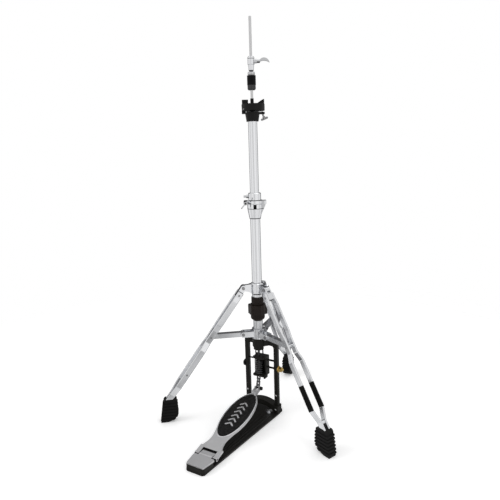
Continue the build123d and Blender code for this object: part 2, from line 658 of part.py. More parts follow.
def bar_path():
    """The middle line of one bar, seen square to the leg."""
    start_t = TONGUE / 2 + SIDE + KNUCKLE_CHEEK + BAR_THICK / 2 + 2 * RUN
    pinch_t = STRUT_WIDE / 2 + SIDE + BAR_THICK / 2
    foot_s = LEG_LENGTH - 32
    points = [(14, start_t), (32, start_t), (46, BAR_UPPER_T), (STRUT_AT - 44, BAR_UPPER_T),
              (STRUT_AT - 22, pinch_t), (STRUT_AT + 20, pinch_t), (STRUT_AT + 46, BAR_LOWER_T),
              (foot_s - 40, BAR_LOWER_T), (foot_s - 6, BAR_FOOT_T), (LEG_LENGTH, BAR_FOOT_T)]
    return FilletPolyline(*points, radius=14)


def one_bar():
    path = bar_path()
    section = RectangleRounded(BAR_THICK, BAR_WIDE, 2.2)
    start = Plane(origin=path @ 0, x_dir=(0, 1, 0), z_dir=(1, 0, 0))
    return sweep(start * section, path=path)


def make_leg_bars(angle):
    bar = one_bar()
    pair = Compound(children=[on_leg(bar), on_leg(mirror(bar, about=Plane.XZ))])
    return around(angle, pair)


def make_knuckle(angle):
    cheek_in = TONGUE / 2 + SIDE
    cheek_out = cheek_in + KNUCKLE_CHEEK
    half = BAR_WIDE / 2
    body = block(13, 34, -cheek_out, cheek_out, -half + 1, half - 1)
    body = softened(body, Axis.Y, 3)
    for side in (1, -1):
        mid = side * (cheek_in + cheek_out) / 2
        cheek = extrude(SlotOverall(24 + BAR_WIDE - 2, BAR_WIDE - 2), amount=KNUCKLE_CHEEK / 2, both=True)
        body += Pos(11, mid, 0) * Rot(90, 0, 0) * cheek
    body -= Rot(90, 0, 0) * Cylinder(PIVOT_PIN_D / 2 + RUN, 80)
    return around(angle, on_leg(body))


def foot_profile():
    inner_r = FOOT_REACH - 52
    sole = Line((FOOT_REACH, 0), (FOOT_REACH - 20, 0))
    curl = ThreePointArc((FOOT_REACH - 20, 0), (FOOT_REACH - 39, 8), (inner_r, 24))
    back = Polyline((inner_r, 24), (inner_r + 1, 40), (inner_r + 2, FOOT_TALL - 3),
                    (inner_r + 9, FOOT_TALL), (FOOT_REACH - 14, FOOT_TALL),
                    (FOOT_REACH - 10, FOOT_TALL - 4), (FOOT_REACH, 0))
    return make_face(Wire([*sole.edges(), *curl.edges(), *back.edges()]))


def make_foot(angle):
    profile = foot_profile()
    core = extrude(Plane.XZ * profile, amount=FOOT_WIDE / 2, both=True)
    wide = extrude(Plane.XZ * offset(profile, FOOT_RIDGE), amount=FOOT_WIDE / 2 + FOOT_RIDGE, both=True)
    step = (FOOT_TALL - 14) / FOOT_RIDGES
    for i in range(FOOT_RIDGES):
        z = 6 + i * step
        core += wide & block(0, 400, -50, 50, z, z + step * 0.55)
    half_t, half_n = BAR_THICK / 2 + SEATED, BAR_WIDE / 2 + SEATED
    for side in (1, -1):
        mid = side * BAR_FOOT_T
        slot = block(LEG_LENGTH - 60, LEG_LENGTH + SEATED, mid - half_t, mid + half_t, -half_n, half_n)
        core -= on_leg(slot)
    return around(angle, core)


def make_strut(angle):
    length, z = strut_length(), STRUT_Z
    x0 = HUB_PIVOT_R
    half_t, half_z = STRUT_WIDE / 2, STRUT_TALL / 2
    strut = extrude(SlotOverall(length + STRUT_TALL, STRUT_TALL), amount=half_t, both=True)
    strut = Rot(90, 0, 0) * strut
    inside = half_t - STRUT_WALL
    hollow = block(-length, length, -inside, inside, -half_z - 1, half_z - STRUT_WALL)
    strut -= hollow
    strut -= Pos(-length / 2, 0, 0) * Rot(90, 0, 0) * Cylinder(PIVOT_PIN_D / 2 + RUN, 60)
    strut += Pos(length / 2, 0, 0) * Rot(90, 0, 0) * Cylinder(PIVOT_PIN_D / 2, STRUT_WIDE)
    return around(angle, Pos(x0 + length / 2, 0, z) * strut)


def make_strut_hub():
    z = STRUT_Z
    hub = rod_between(HUB_BOTTOM, HUB_TOP, HUB_D)
    ear_in = STRUT_WIDE / 2 + SIDE
    ear_out = ear_in + HUB_EAR
    for angle in LEG_ANGLES.values():
        for side in (1, -1):
            mid = side * (ear_in + ear_out) / 2
            reach = HUB_PIVOT_R + 8
            ear = extrude(SlotOverall(reach, 17), amount=(ear_out - ear_in) / 2, both=True)
            ear = Pos(reach / 2, mid, z) * Rot(90, 0, 0) * ear
            bore = Pos(HUB_PIVOT_R, 0, z) * Rot(90, 0, 0) * Cylinder(PIVOT_PIN_D / 2 + SEATED, 60)
            hub += around(angle, ear - bore)
    for angle in LEG_ANGLES.values():
        room = block(HUB_PIVOT_R - STRUT_TALL / 2 - 2, HUB_PIVOT_R + 30, -ear_in, ear_in, z - 20, z + 20)
        hub -= around(angle, room)
    return hub - rod_between(0, 500, LOWER_TUBE_D + 2 * RUN)


def make_hub_pins():
    z = STRUT_Z
    half = STRUT_WIDE / 2 + SIDE + HUB_EAR
    pins = []
    for angle in LEG_ANGLES.values():
        pin = Rot(90, 0, 0) * Cylinder(PIVOT_PIN_D / 2, 2 * half)
        for side in (1, -1):
            pin += Pos(0, side * (half + 1), 0) * Rot(90, 0, 0) * Cylinder(PIVOT_PIN_D / 2 + 1.6, 2)
        pins.append(around(angle, Pos(HUB_PIVOT_R, 0, z) * pin))
    return Compound(children=pins)


def make_leg_bracket():
    r, collar_r = BRACKET_D / 2, BRACKET_COLLAR_D / 2
    body = turned_profile([(0, BRACKET_BOTTOM), (collar_r, BRACKET_BOTTOM), (collar_r, BRACKET_RING - 2),
                           (r, BRACKET_RING + 2), (r, BRACKET_TOP - 2), (r - 2, BRACKET_TOP),
                           (0, BRACKET_TOP)])
    for angle in LEG_ANGLES.values():
        arm = make_face(Polyline((10, BRACKET_RING + 1), (LEG_PIVOT_R - 4, LEG_PIVOT_Z - 9),
                                 (LEG_PIVOT_R, LEG_PIVOT_Z + 9), (10, BRACKET_TOP - 3), close=True))
        arm = extrude(Plane.XZ * arm, amount=TONGUE / 2, both=True)
        arm += Pos(LEG_PIVOT_R, 0, LEG_PIVOT_Z) * Rot(90, 0, 0) * Cylinder(9, TONGUE)
        arm -= Pos(LEG_PIVOT_R, 0, LEG_PIVOT_Z) * Rot(90, 0, 0) * Cylinder(PIVOT_PIN_D / 2 + SEATED, 60)
        body += around(angle, arm)
    body += around(WING_ANGLE, bar_x(12, r + 7, 15, 0, LEG_PIVOT_Z - 2))
    body -= rod_between(0, 500, LOWER_TUBE_D + 2 * RUN)
    return body - around(WING_ANGLE, bar_x(0, 60, BRACKET_SCREW_D + 2 * RUN, 0, LEG_PIVOT_Z - 2))


def make_bracket_wing_screw():
    start = LOWER_TUBE_D / 2 + SIDE
    face = BRACKET_D / 2 + 7 + SIDE
    screw = bar_x(start, face + 4, BRACKET_SCREW_D, 0, 0)
    screw += Pos(face, 0, 0) * Rot(90, 0, 0) * wing(34, 10, 3.4, 13, 11, 6.8)
    return around(WING_ANGLE, Pos(0, 0, LEG_PIVOT_Z - 2) * screw)


def make_leg_pivot_pins():
    half = TONGUE / 2 + SIDE + KNUCKLE_CHEEK
    pins = []
    for angle in LEG_ANGLES.values():
        pin = Rot(90, 0, 0) * Cylinder(PIVOT_PIN_D / 2, 2 * half + 0.6)
        for side in (1, -1):
            pin += Pos(0, side * (half + 1.3), 0) * Rot(90, 0, 0) * Cylinder(PIVOT_PIN_D / 2 + 1.6, 2)
        pins.append(around(angle, Pos(LEG_PIVOT_R, 0, LEG_PIVOT_Z) * pin))
    return Compound(children=pins)


# ================================================================ seat
def toward_lug(shape):
    return Rot(0, 0, CAMERA_SIDE) * shape


def make_seat_cone():
    cone = turned_profile([(0, CONE_BOTTOM), (CONE_BOTTOM_D / 2, CONE_BOTTOM),
                           (CONE_BOTTOM_D / 2, CONE_BOTTOM + 3), (CONE_TOP_D / 2, CONE_TOP - 2),
                           (CONE_TOP_D / 2, CONE_TOP), (0, CONE_TOP)])
    horn = block(-SEAT_HINGE_R - 5, -12, -7, 7, CONE_TOP - SEAT_HORN, CONE_TOP)
    cone += softened(horn, Axis.Z, 3)
    ears_z = SEAT_HINGE_Z
    for side in (1, -1):
        ear = block(-SEAT_HINGE_R - 5, -SEAT_HINGE_R + 5, side * 4, side * 7, CONE_TOP - 3, ears_z + 5)
        cone += ear
    lug = block(12, TILT_SCREW_R - 3, -TILT_LUG_D / 2, TILT_LUG_D / 2, CONE_TOP - TILT_LUG, CONE_TOP)
    lug += rod_between(CONE_TOP - TILT_LUG, CONE_TOP, TILT_LUG_D, TILT_SCREW_R - 3)
    cone += lug
    cone -= tilt_screw_place(Cylinder(TILT_SCREW_D / 2 + RUN, 60))
    cone -= rod_between(CONE_BOTTOM - 1, UPPER_TUBE_TOP + SEATED, UPPER_TUBE_D + 2 * SEATED)
    cone -= bar_y(-20, 20, SEAT_HINGE_D + 2 * SEATED, -SEAT_HINGE_R, ears_z)
    cone -= rod_between(CONE_BOTTOM, CONE_TOP + 1, POST_D + 2 * SEATED)
    return toward_lug(cone)


def make_seat_post():
    return pipe(UPPER_TUBE_TOP + 1, POST_TOP, POST_D, ROD_D + 2 * SIDE)


def make_seat_hinge_pin():
    return toward_lug(bar_y(-9, 9, SEAT_HINGE_D, -SEAT_HINGE_R, SEAT_HINGE_Z))


def make_seat_cup():
    cup = Pos(CUP_SHIFT, 0, 0) * rod_between(CUP_BOTTOM, CUP_TOP, CUP_D)
    cup = fillet(cup.edges().filter_by(GeomType.CIRCLE), 2)
    edge = CUP_SHIFT + CUP_D / 2
    ramp = make_face(Polyline((6, CUP_TOP - 1), (14, CUP_TOP + 1), (edge - 8, EAR_TOP - 3),
                              (edge - 1, EAR_TOP), (edge - 1, CUP_TOP - 1), close=True))
    ramp = extrude(Plane.XZ * ramp, amount=13, both=True)
    cup += ramp & (Pos(CUP_SHIFT, 0, 0) * rod_between(CUP_TOP - 2, EAR_TOP + 1, CUP_D - 1))
    ear = block(-CUP_D / 2 + 4, -11, -11, 11, CUP_TOP - 1, EAR_TOP - 1)
    cup += softened(ear, Axis.Z, 3)
    cup -= rod_between(CUP_BOTTOM - 10, EAR_TOP + 5, CUP_HOLE_D)
    horn_room = block(-CUP_D, -SEAT_HINGE_R + 6, -7 - SIDE, 7 + SIDE, CUP_BOTTOM - 1, CUP_BOTTOM + 11)
    tab = block(-SEAT_HINGE_R - 5, -SEAT_HINGE_R + 7, -4 + SIDE, 4 - SIDE, CUP_BOTTOM, CUP_BOTTOM + 12)
    cup = cup - horn_room + tab
    cup -= bar_y(-20, 20, SEAT_HINGE_D + 2 * RUN, -SEAT_HINGE_R, SEAT_HINGE_Z)
    return toward_lug(cup)


def tilt_screw_place(shape):
    """The tilt screw leans outwards under the cup's right side and pushes the cup up."""
    return Pos(TILT_SCREW_R - 3, 0, CONE_TOP - 4) * Rot(0, 160, 0) * shape


def make_tilt_screw():
    stem = Pos(0, 0, 2.6) * Cylinder(TILT_SCREW_D / 2, 16)
    screw = fillet(stem.edges().sort_by(Axis.Z)[0], 1.5) + Pos(0, 0, 10.5) * Cylinder(4, 3)
    head = Rot(0, -90, 0) * wing(19, 6, 2.6, 7, 7, 4.3)
    screw += Pos(0, 0, 11) * head
    return toward_lug(tilt_screw_place(screw))


# ================================================================ clutch
def make_clutch_body():
    r, neck, sleeve = CLUTCH_BODY_D / 2, CLUTCH_NECK_D / 2, CLUTCH_SLEEVE_D / 2
    body = turned_profile([(0, BOTTOM_NUT_Z), (sleeve, BOTTOM_NUT_Z), (sleeve, LOCK_NUT_TOP),
                           (neck, LOCK_NUT_TOP), (neck, CLUTCH_NECK_Z), (neck + 1.6, CLUTCH_NECK_Z),
                           (r - 1.2, CLUTCH_TAPER_Z - 1), (r, CLUTCH_TAPER_Z), (r, CLUTCH_TOP - 1.5),
                           (r - 1.5, CLUTCH_TOP), (0, CLUTCH_TOP)])
    boss = bar_x(4, 16, 11, 0, CLUTCH_SCREW_Z)
    body += toward_lug(boss)
    body -= rod_between(BOTTOM_NUT_Z - 1, CLUTCH_TOP + 1, ROD_D + 2 * RUN)
    return body - toward_lug(bar_x(0, 30, CLUTCH_SCREW_D + 2 * RUN, 0, CLUTCH_SCREW_Z))


def make_clutch_wing_screw():
    face = 16 + SIDE
    screw = bar_x(ROD_D / 2 + SIDE, face + 3, CLUTCH_SCREW_D)
    screw += bar_x(face, face + 8, 9)
    upper = make_face(Wire([*ThreePointArc((face + 4, -3), (face + 20, 9), (face + 34, -4)).edges(),
                            *ThreePointArc((face + 34, -4), (face + 19, 1), (face + 4, -3)).edges()]))
    blade = extrude(Plane.XZ * upper, amount=2.2, both=True)
    screw += blade
    return toward_lug(Pos(0, 0, CLUTCH_SCREW_Z) * screw)


def make_clutch_lock_nut():
    r = LOCK_NUT_D / 2
    nut = turned_profile([(0, LOCK_NUT_Z), (r, LOCK_NUT_Z), (r, LOCK_NUT_TOP - 1.5),
                          (r - 1.5, LOCK_NUT_TOP), (0, LOCK_NUT_TOP)])
    return nut - rod_between(0, 1200, CLUTCH_SLEEVE_D + 2 * SEATED)


def make_clutch_washer():
    return pipe(WASHER_Z, LOCK_NUT_Z, WASHER_D, CLUTCH_SLEEVE_D + 2 * SEATED)


def make_clutch_felts():
    middle = (FELT_BOTTOM + WASHER_Z) / 2
    bore = CLUTCH_SLEEVE_D + 2 * SEATED
    felts = [pipe(middle + 0.4, WASHER_Z, FELT_D, bore), pipe(FELT_BOTTOM, middle - 0.4, FELT_D, bore)]
    return Compound(children=felts)


def make_clutch_bottom_nut():
    r = BOTTOM_NUT_D / 2
    nut = turned_profile([(0, BOTTOM_NUT_Z), (r - 2, BOTTOM_NUT_Z), (r, BOTTOM_NUT_Z + 2),
                          (r, FELT_BOTTOM), (0, FELT_BOTTOM)])
    return nut - rod_between(0, 1200, CLUTCH_SLEEVE_D + 2 * SEATED)


# ================================================================ all nodes
def all_nodes():
    nodes = {
        "base_plate": make_base_plate(),
        "heel_plate": make_heel_plate(),
        "heel_hinge_pin": make_heel_hinge_pin(),
        "rear_bridge": make_rear_bridge(),
        "anchor_spur_left": make_anchor_spur(-1),
        "anchor_spur_right": make_anchor_spur(1),
        "arch_frame": make_arch_frame(),
        "spring_cage": make_spring_cage(),
        "cage_hangers": make_cage_hangers(),
        "side_bolt_left": make_side_bolt_left(),
        "side_bolt_right": make_side_bolt_right(),
        "return_spring": make_return_spring(),
        "lower_tube": make_lower_tube(),
        "tube_bushing": make_tube_bushing(),
        "height_collar": make_height_collar(),
        "height_bolt": make_height_bolt(),
        "height_wing_nut": make_height_wing_nut(),
        "memory_lock": make_memory_lock(),
        "memory_lock_key": make_memory_lock_key(),
        "dial_sleeve": make_dial_sleeve(),
        "dial_ring": make_dial_ring(),
        "dial_nut": make_dial_nut(),
        "upper_tube": make_upper_tube(),
        "seat_cone": make_seat_cone(),
        "seat_post": make_seat_post(),
        "seat_hinge_pin": make_seat_hinge_pin(),
        "seat_cup": make_seat_cup(),
        "tilt_screw": make_tilt_screw(),
        "pull_rod_upper": make_pull_rod_upper(),
        "pull_rod_lower": make_pull_rod_lower(),
        "rod_coupling": make_rod_coupling(),
        "spring_collar": make_spring_collar(),
        "clutch_body": make_clutch_body(),
        "clutch_lock_nut": make_clutch_lock_nut(),
        "clutch_washer": make_clutch_washer(),
        "clutch_felts": make_clutch_felts(),
        "clutch_bottom_nut": make_clutch_bottom_nut(),
        "clutch_wing_screw": make_clutch_wing_screw(),
        "drive_chain": make_drive_chain(),
        "footboard": make_footboard(),
        "footboard_pad": make_footboard_pad(),
        "toe_clip": make_toe_clip(),
        "toe_pin": make_toe_pin(),
        "strut_hub": make_strut_hub(),
        "hub_pins": make_hub_pins(),
        "leg_bracket": make_leg_bracket(),
        "leg_pivot_pins": make_leg_pivot_pins(),
        "bracket_wing_screw": make_bracket_wing_screw(),
    }
    for name, angle in LEG_ANGLES.items():
        nodes["leg_bars_" + name] = make_leg_bars(angle)
        nodes["leg_knuckle_" + name] = make_knuckle(angle)
        nodes["leg_foot_" + name] = make_foot(angle)
        nodes["strut_" + name] = make_strut(angle)
    return nodes


os.makedirs("parts", exist_ok=True)
for node, shape in all_nodes().items():
    export_step(shape, "parts/" + node + ".step")
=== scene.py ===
import json
import math

import bmesh
import bpy
from bpy.props import FloatProperty, FloatVectorProperty, IntProperty, PointerProperty
from mathutils import Matrix, Vector


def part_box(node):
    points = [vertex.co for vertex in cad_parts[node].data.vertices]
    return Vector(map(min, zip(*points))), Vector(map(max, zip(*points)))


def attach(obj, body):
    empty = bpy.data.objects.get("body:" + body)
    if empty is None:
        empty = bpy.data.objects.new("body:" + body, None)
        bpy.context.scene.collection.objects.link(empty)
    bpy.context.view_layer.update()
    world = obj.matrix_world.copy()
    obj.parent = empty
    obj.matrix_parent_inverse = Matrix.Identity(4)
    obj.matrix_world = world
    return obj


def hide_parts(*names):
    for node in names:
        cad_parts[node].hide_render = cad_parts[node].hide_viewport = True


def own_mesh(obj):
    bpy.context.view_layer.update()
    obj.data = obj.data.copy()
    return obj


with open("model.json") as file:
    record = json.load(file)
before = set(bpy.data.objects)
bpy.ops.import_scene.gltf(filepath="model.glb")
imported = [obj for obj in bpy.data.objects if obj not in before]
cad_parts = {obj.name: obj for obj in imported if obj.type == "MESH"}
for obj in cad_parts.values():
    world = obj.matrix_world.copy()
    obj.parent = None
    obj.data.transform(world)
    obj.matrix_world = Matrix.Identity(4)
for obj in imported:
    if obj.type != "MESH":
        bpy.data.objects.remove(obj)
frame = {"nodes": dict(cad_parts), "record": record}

bl_info = {
    "name": "Hi hat stand finishes",
    "version": (1, 0, 0),
    "blender": (4, 5, 0),
    "location": "3D View > Sidebar > Hi hat",
    "description": "Gives the packed hi hat stand its finishes, small hardware and studio stage",
    "category": "Object",
}

JOINTS = {joint["name"]: joint for joint in frame["record"]["behaviour"]["joints"]}
LEGS = ("right", "left", "rear")
MM = 0.001


# ------------------------------------------------------------------ properties
def size_property(name, text, default):
    return FloatProperty(name=name, description=text, default=default, unit="LENGTH", subtype="DISTANCE")


def colour_property(name, text, default):
    return FloatVectorProperty(name=name, description=text, default=default, size=3, subtype="COLOR",
                               min=0.0, max=1.0)


class HiHatSizes(bpy.types.PropertyGroup):
    leg_lean: FloatProperty(name="Leg lean", description="Angle of a leg from upright", unit="ROTATION",
                            subtype="ANGLE", default=math.radians(35.3))
    rivet_radius: size_property("Rivet radius", "Radius of a leg rivet's head", 3.1 * MM)
    rivet_height: size_property("Rivet height", "Height of a leg rivet's head", 1.5 * MM)
    bar_outer: size_property("Bar outer face", "From a leg's middle to a bar's outer face, low down",
                             22.2 * MM)
    pinch_outer: size_property("Pinch outer face", "The same distance at the strut", 14.3 * MM)
    head_outer: size_property("Head outer face", "The same distance at the knuckle", 15.02 * MM)
    strut_at: size_property("Strut pivot", "From a leg's pivot to its strut pivot", 176 * MM)
    pad_half_length: size_property("Pad half length", "Half the length of the footboard's pad", 91.4 * MM)
    pad_half_width: size_property("Pad half width", "Half the width of the footboard's pad", 36.6 * MM)
    pad_at: size_property("Pad place", "From the pedal hinge to the middle of the pad", 163 * MM)
    tread_pitch: size_property("Tread pitch", "Spacing of the ridges on the pad", 2.6 * MM)
    knurl_width: size_property("Knurl width", "Width of one ridge on a knurled nut", 1.0 * MM)
    spring_wire: size_property("Spring wire", "Thickness of the return spring's wire", 3.0 * MM)
    spring_turns: IntProperty(name="Spring turns", description="Turns of the return spring", default=7)
    label_from: size_property("Label start", "From the right leg's pivot to its labels", 286 * MM)
    label_to: size_property("Label end", "From the right leg's pivot to the labels' end", 357 * MM)


class HiHatColours(bpy.types.PropertyGroup):
    chrome: colour_property("Chrome", "Tint of the chrome plate", (0.83, 0.84, 0.86))
    steel: colour_property("Rod steel", "Tint of the bright drawn rod", (0.74, 0.74, 0.75))
    board: colour_property("Footboard", "Satin finish of the footboard and heel plate", (0.56, 0.56, 0.57))
    coat: colour_property("Powder coat", "Coat of the frame, cage and base", (0.0105, 0.0100, 0.0085))
    plastic: colour_property("Moulding", "Black moulded pieces", (0.0075, 0.0070, 0.0070))
    dial: colour_property("Dial", "Brown-black spring dial", (0.0125, 0.0080, 0.0060))
    rubber: colour_property("Rubber", "Rubber of the feet", (0.0045, 0.0045, 0.0045))
    felt: colour_property("Felt", "Pressed felt of the clutch", (0.006, 0.006, 0.0065))
    bolt: colour_property("Bolt", "Yellow plated hex bolt", (0.62, 0.45, 0.16))
    spring: colour_property("Spring", "Oiled spring wire", (0.085, 0.085, 0.088))
    floor: colour_property("Floor", "Studio floor", (0.93, 0.93, 0.93))


class HiHatStage(bpy.types.PropertyGroup):
    azimuth: FloatProperty(name="Azimuth", description="Way round the stand that the camera stands",
                           unit="ROTATION", subtype="ANGLE", default=math.radians(30.2))
    distance: size_property("Distance", "From the tube to the camera, over the floor", 1.416)
    height: size_property("Height", "Height of the camera", 0.805)
    pitch: FloatProperty(name="Pitch", description="How far the camera looks down", unit="ROTATION",
                         subtype="ANGLE", default=math.radians(11.46))
    yaw: FloatProperty(name="Yaw", description="How far the camera aims to the right of the tube",
                       unit="ROTATION", subtype="ANGLE", default=math.radians(-0.72))
    roll: FloatProperty(name="Roll", description="How far the camera is tipped", unit="ROTATION",
                        subtype="ANGLE", default=math.radians(-1.70))
    lens: FloatProperty(name="Lens", description="Focal length in millimetres", default=35.45)
    key: FloatProperty(name="Key light", description="Power of the large soft light", unit="POWER",
                       default=26.0)
    fill: FloatProperty(name="Fill light", description="Power of the smaller soft light", unit="POWER",
                        default=12.0)
    sky: FloatProperty(name="Surround", description="Brightness of the studio around the stand",
                       default=0.62)


def sizes():
    return bpy.context.scene.hi_hat_sizes


def colours():
    return bpy.context.scene.hi_hat_colours


def stage():
    return bpy.context.scene.hi_hat_stage


# ------------------------------------------------------------------ node helpers
def add_node(tree, kind, inputs=None, **settings):
    """Add a node, set its options, and link or fill its inputs by name or number."""
    made = tree.nodes.new(kind)
    for key, value in settings.items():
        setattr(made, key, value)
    for key, value in (inputs or {}).items():
        socket = made.inputs[key]
        if isinstance(value, bpy.types.NodeSocket):
            tree.links.new(value, socket)
        else:
            socket.default_value = value
    return made


def math_node(tree, operation, *values, **settings):
    """A maths node on numbers, from its operation and its values in order."""
    return add_node(tree, "ShaderNodeMath", dict(enumerate(values)), operation=operation, **settings)


def vector_node(tree, operation, *values, **settings):
    """The same for vectors."""
    return add_node(tree, "ShaderNodeVectorMath", dict(enumerate(values)), operation=operation, **settings)


def shader_group(name, takes, gives):
    """Start a shader node group with named sockets; returns the tree and its two end nodes."""
    tree = bpy.data.node_groups.new(name, "ShaderNodeTree")
    for label, default in takes:
        socket = tree.interface.new_socket(label, in_out="INPUT", socket_type="NodeSocketFloat")
        socket.default_value = default
    for label in gives:
        tree.interface.new_socket(label, in_out="OUTPUT", socket_type="NodeSocketFloat")
    return tree, tree.nodes.new("NodeGroupInput"), tree.nodes.new("NodeGroupOutput")


def make_grain_group():
    """Fine grain over the whole surface, with a slower drift in its strength."""
    tree, took, gave = shader_group("surface_grain", [("Scale", 900.0), ("Stretch", 1.0)],
                                    ["Height", "Drift"])
    place = add_node(tree, "ShaderNodeTexCoord").outputs["Object"]
    stretch = add_node(tree, "ShaderNodeCombineXYZ", {"X": 1.0, "Y": 1.0, "Z": took.outputs["Stretch"]})
    scaled = vector_node(tree, "MULTIPLY", place, stretch.outputs[0])
    fine = add_node(tree, "ShaderNodeTexNoise", {"Vector": scaled.outputs[0],
                                                 "Scale": took.outputs["Scale"],
                                                 "Detail": 3.0, "Roughness": 0.6})
    slow_scale = math_node(tree, "MULTIPLY", took.outputs["Scale"], 0.045)
    slow = add_node(tree, "ShaderNodeTexNoise", {"Vector": scaled.outputs[0],
                                                 "Scale": slow_scale.outputs[0],
                                                 "Detail": 4.0, "Roughness": 0.55})
    tree.links.new(fine.outputs["Fac"], gave.inputs["Height"])
    tree.links.new(slow.outputs["Fac"], gave.inputs["Drift"])
    return tree


def make_smudge_group():
    """Soft patches where hands have been, from 0 to 1."""
    tree, took, gave = shader_group("hand_smudges", [("Scale", 22.0), ("Amount", 0.5)], ["Mask"])
    place = add_node(tree, "ShaderNodeTexCoord").outputs["Object"]
    patch = add_node(tree, "ShaderNodeTexNoise", {"Vector": place, "Scale": took.outputs["Scale"],
                                                  "Detail": 5.0, "Roughness": 0.62, "Distortion": 0.6})
    spread = add_node(tree, "ShaderNodeMapRange", {"Value": patch.outputs["Fac"], "From Min": 0.45,
                                                   "From Max": 0.72})
    scaled = math_node(tree, "MULTIPLY", spread.outputs["Result"], took.outputs["Amount"])
    tree.links.new(scaled.outputs[0], gave.inputs["Mask"])
    return tree


def make_dust_group():
    """Dust that has settled on faces that look up, from 0 to 1."""
    tree, took, gave = shader_group("settled_dust", [("Amount", 0.3), ("Scale", 160.0)], ["Mask"])
    normal = add_node(tree, "ShaderNodeNewGeometry").outputs["Normal"]
    up = add_node(tree, "ShaderNodeSeparateXYZ", {"Vector": normal}).outputs["Z"]
    faces = add_node(tree, "ShaderNodeMapRange", {"Value": up, "From Min": 0.25, "From Max": 0.95})
    place = add_node(tree, "ShaderNodeTexCoord").outputs["Object"]
    speck = add_node(tree, "ShaderNodeTexNoise", {"Vector": place, "Scale": took.outputs["Scale"],
                                                  "Detail": 6.0, "Roughness": 0.7})
    grains = add_node(tree, "ShaderNodeMapRange", {"Value": speck.outputs["Fac"], "From Min": 0.42,
                                                   "From Max": 0.75})
    both = math_node(tree, "MULTIPLY", faces.outputs["Result"], grains.outputs["Result"])
    out = math_node(tree, "MULTIPLY", both.outputs[0], took.outputs["Amount"])
    tree.links.new(out.outputs[0], gave.inputs["Mask"])
    return tree


def make_ring_group():
    """Three dark lines of painted shade round an upright axis, each a height and a half width, from 0 to 1.
    """
    takes = [("Z1", 0.0), ("Half1", 0.0), ("Z2", 0.0), ("Half2", 0.0), ("Z3", 0.0), ("Half3", 0.0)]
    tree, took, gave = shader_group("painted_shade_lines", takes, ["Mask"])
    place = add_node(tree, "ShaderNodeTexCoord").outputs["Object"]
    height = add_node(tree, "ShaderNodeSeparateXYZ", {"Vector": place}).outputs["Z"]
    mask = 0.0
    for number in ("1", "2", "3"):
        line = math_node(tree, "COMPARE", height, took.outputs["Z" + number], took.outputs["Half" + number])
        both = math_node(tree, "MAXIMUM", line.outputs[0], mask)
        mask = both.outputs[0]
    tree.links.new(mask, gave.inputs["Mask"])
    return tree


def make_gap_group():
    """Faces inside the heel hinge's gaps, where painted shade goes, from 0 to 1."""
    takes = [("Front", -0.3), ("Back", -0.2685), ("Half", 0.0345)]
    tree, took, gave = shader_group("hinge_gap_shade", takes, ["Mask"])
    place = add_node(tree, "ShaderNodeTexCoord").outputs["Object"]
    axes = add_node(tree, "ShaderNodeSeparateXYZ", {"Vector": place}).outputs
    normal = add_node(tree, "ShaderNodeNewGeometry").outputs["Normal"]
    up = add_node(tree, "ShaderNodeSeparateXYZ", {"Vector": normal}).outputs["Z"]
    across = math_node(tree, "ABSOLUTE", axes["X"]).outputs[0]
    tests = [("LESS_THAN", up, 0.78), ("LESS_THAN", across, took.outputs["Half"]),
             ("LESS_THAN", axes["Y"], took.outputs["Back"]),
             ("GREATER_THAN", axes["Y"], took.outputs["Front"])]
    mask = 1.0
    for way, value, limit in tests:
        test = math_node(tree, way, value, limit)
        both = math_node(tree, "MULTIPLY", test.outputs[0], mask)
        mask = both.outputs[0]
    tree.links.new(mask, gave.inputs["Mask"])
    return tree


def make_side_group():
    """Everything farther from the axis than a limit, towards one side, from 0 to 1."""
    tree, took, gave = shader_group("one_side", [("Toward_x", 1.0), ("Toward_y", 0.0), ("Limit", 0.02)],
                                    ["Mask"])
    place = add_node(tree, "ShaderNodeTexCoord").outputs["Object"]
    way = add_node(tree, "ShaderNodeCombineXYZ", {"X": took.outputs["Toward_x"],
                                                  "Y": took.outputs["Toward_y"]})
    reach = vector_node(tree, "DOT_PRODUCT", place, way.outputs[0])
    out = math_node(tree, "GREATER_THAN", reach.outputs["Value"], took.outputs["Limit"])
    tree.links.new(out.outputs[0], gave.inputs["Mask"])
    return tree


def make_under_group():
    """Faces that look down, where painted shade goes, from 0 to 1."""
    tree, took, gave = shader_group("underside_shade", [("Amount", 0.9)], ["Mask"])
    normal = add_node(tree, "ShaderNodeNewGeometry").outputs["Normal"]
    up = add_node(tree, "ShaderNodeSeparateXYZ", {"Vector": normal}).outputs["Z"]
    down = add_node(tree, "ShaderNodeMapRange", {"Value": up, "From Min": -0.05, "From Max": -0.45})
    out = math_node(tree, "MULTIPLY", down.outputs["Result"], took.outputs["Amount"])
    tree.links.new(out.outputs[0], gave.inputs["Mask"])
    return tree


GROUPS = {}


def group_node(tree, name, **inputs):
    values = {key.capitalize(): value for key, value in inputs.items()}
    made = add_node(tree, "ShaderNodeGroup", node_tree=GROUPS[name])
    for key, value in values.items():
        made.inputs[key].default_value = value
    return made


def mix_colour(tree, factor, dark, light):
    made = add_node(tree, "ShaderNodeMix", data_type="RGBA")
    tree.links.new(factor, made.inputs["Factor"])
    for socket, value in ((made.inputs[6], dark), (made.inputs[7], light)):
        if isinstance(value, bpy.types.NodeSocket):
            tree.links.new(value, socket)
        else:
            socket.default_value = (*value[:3], 1.0)
    return made.outputs[2]


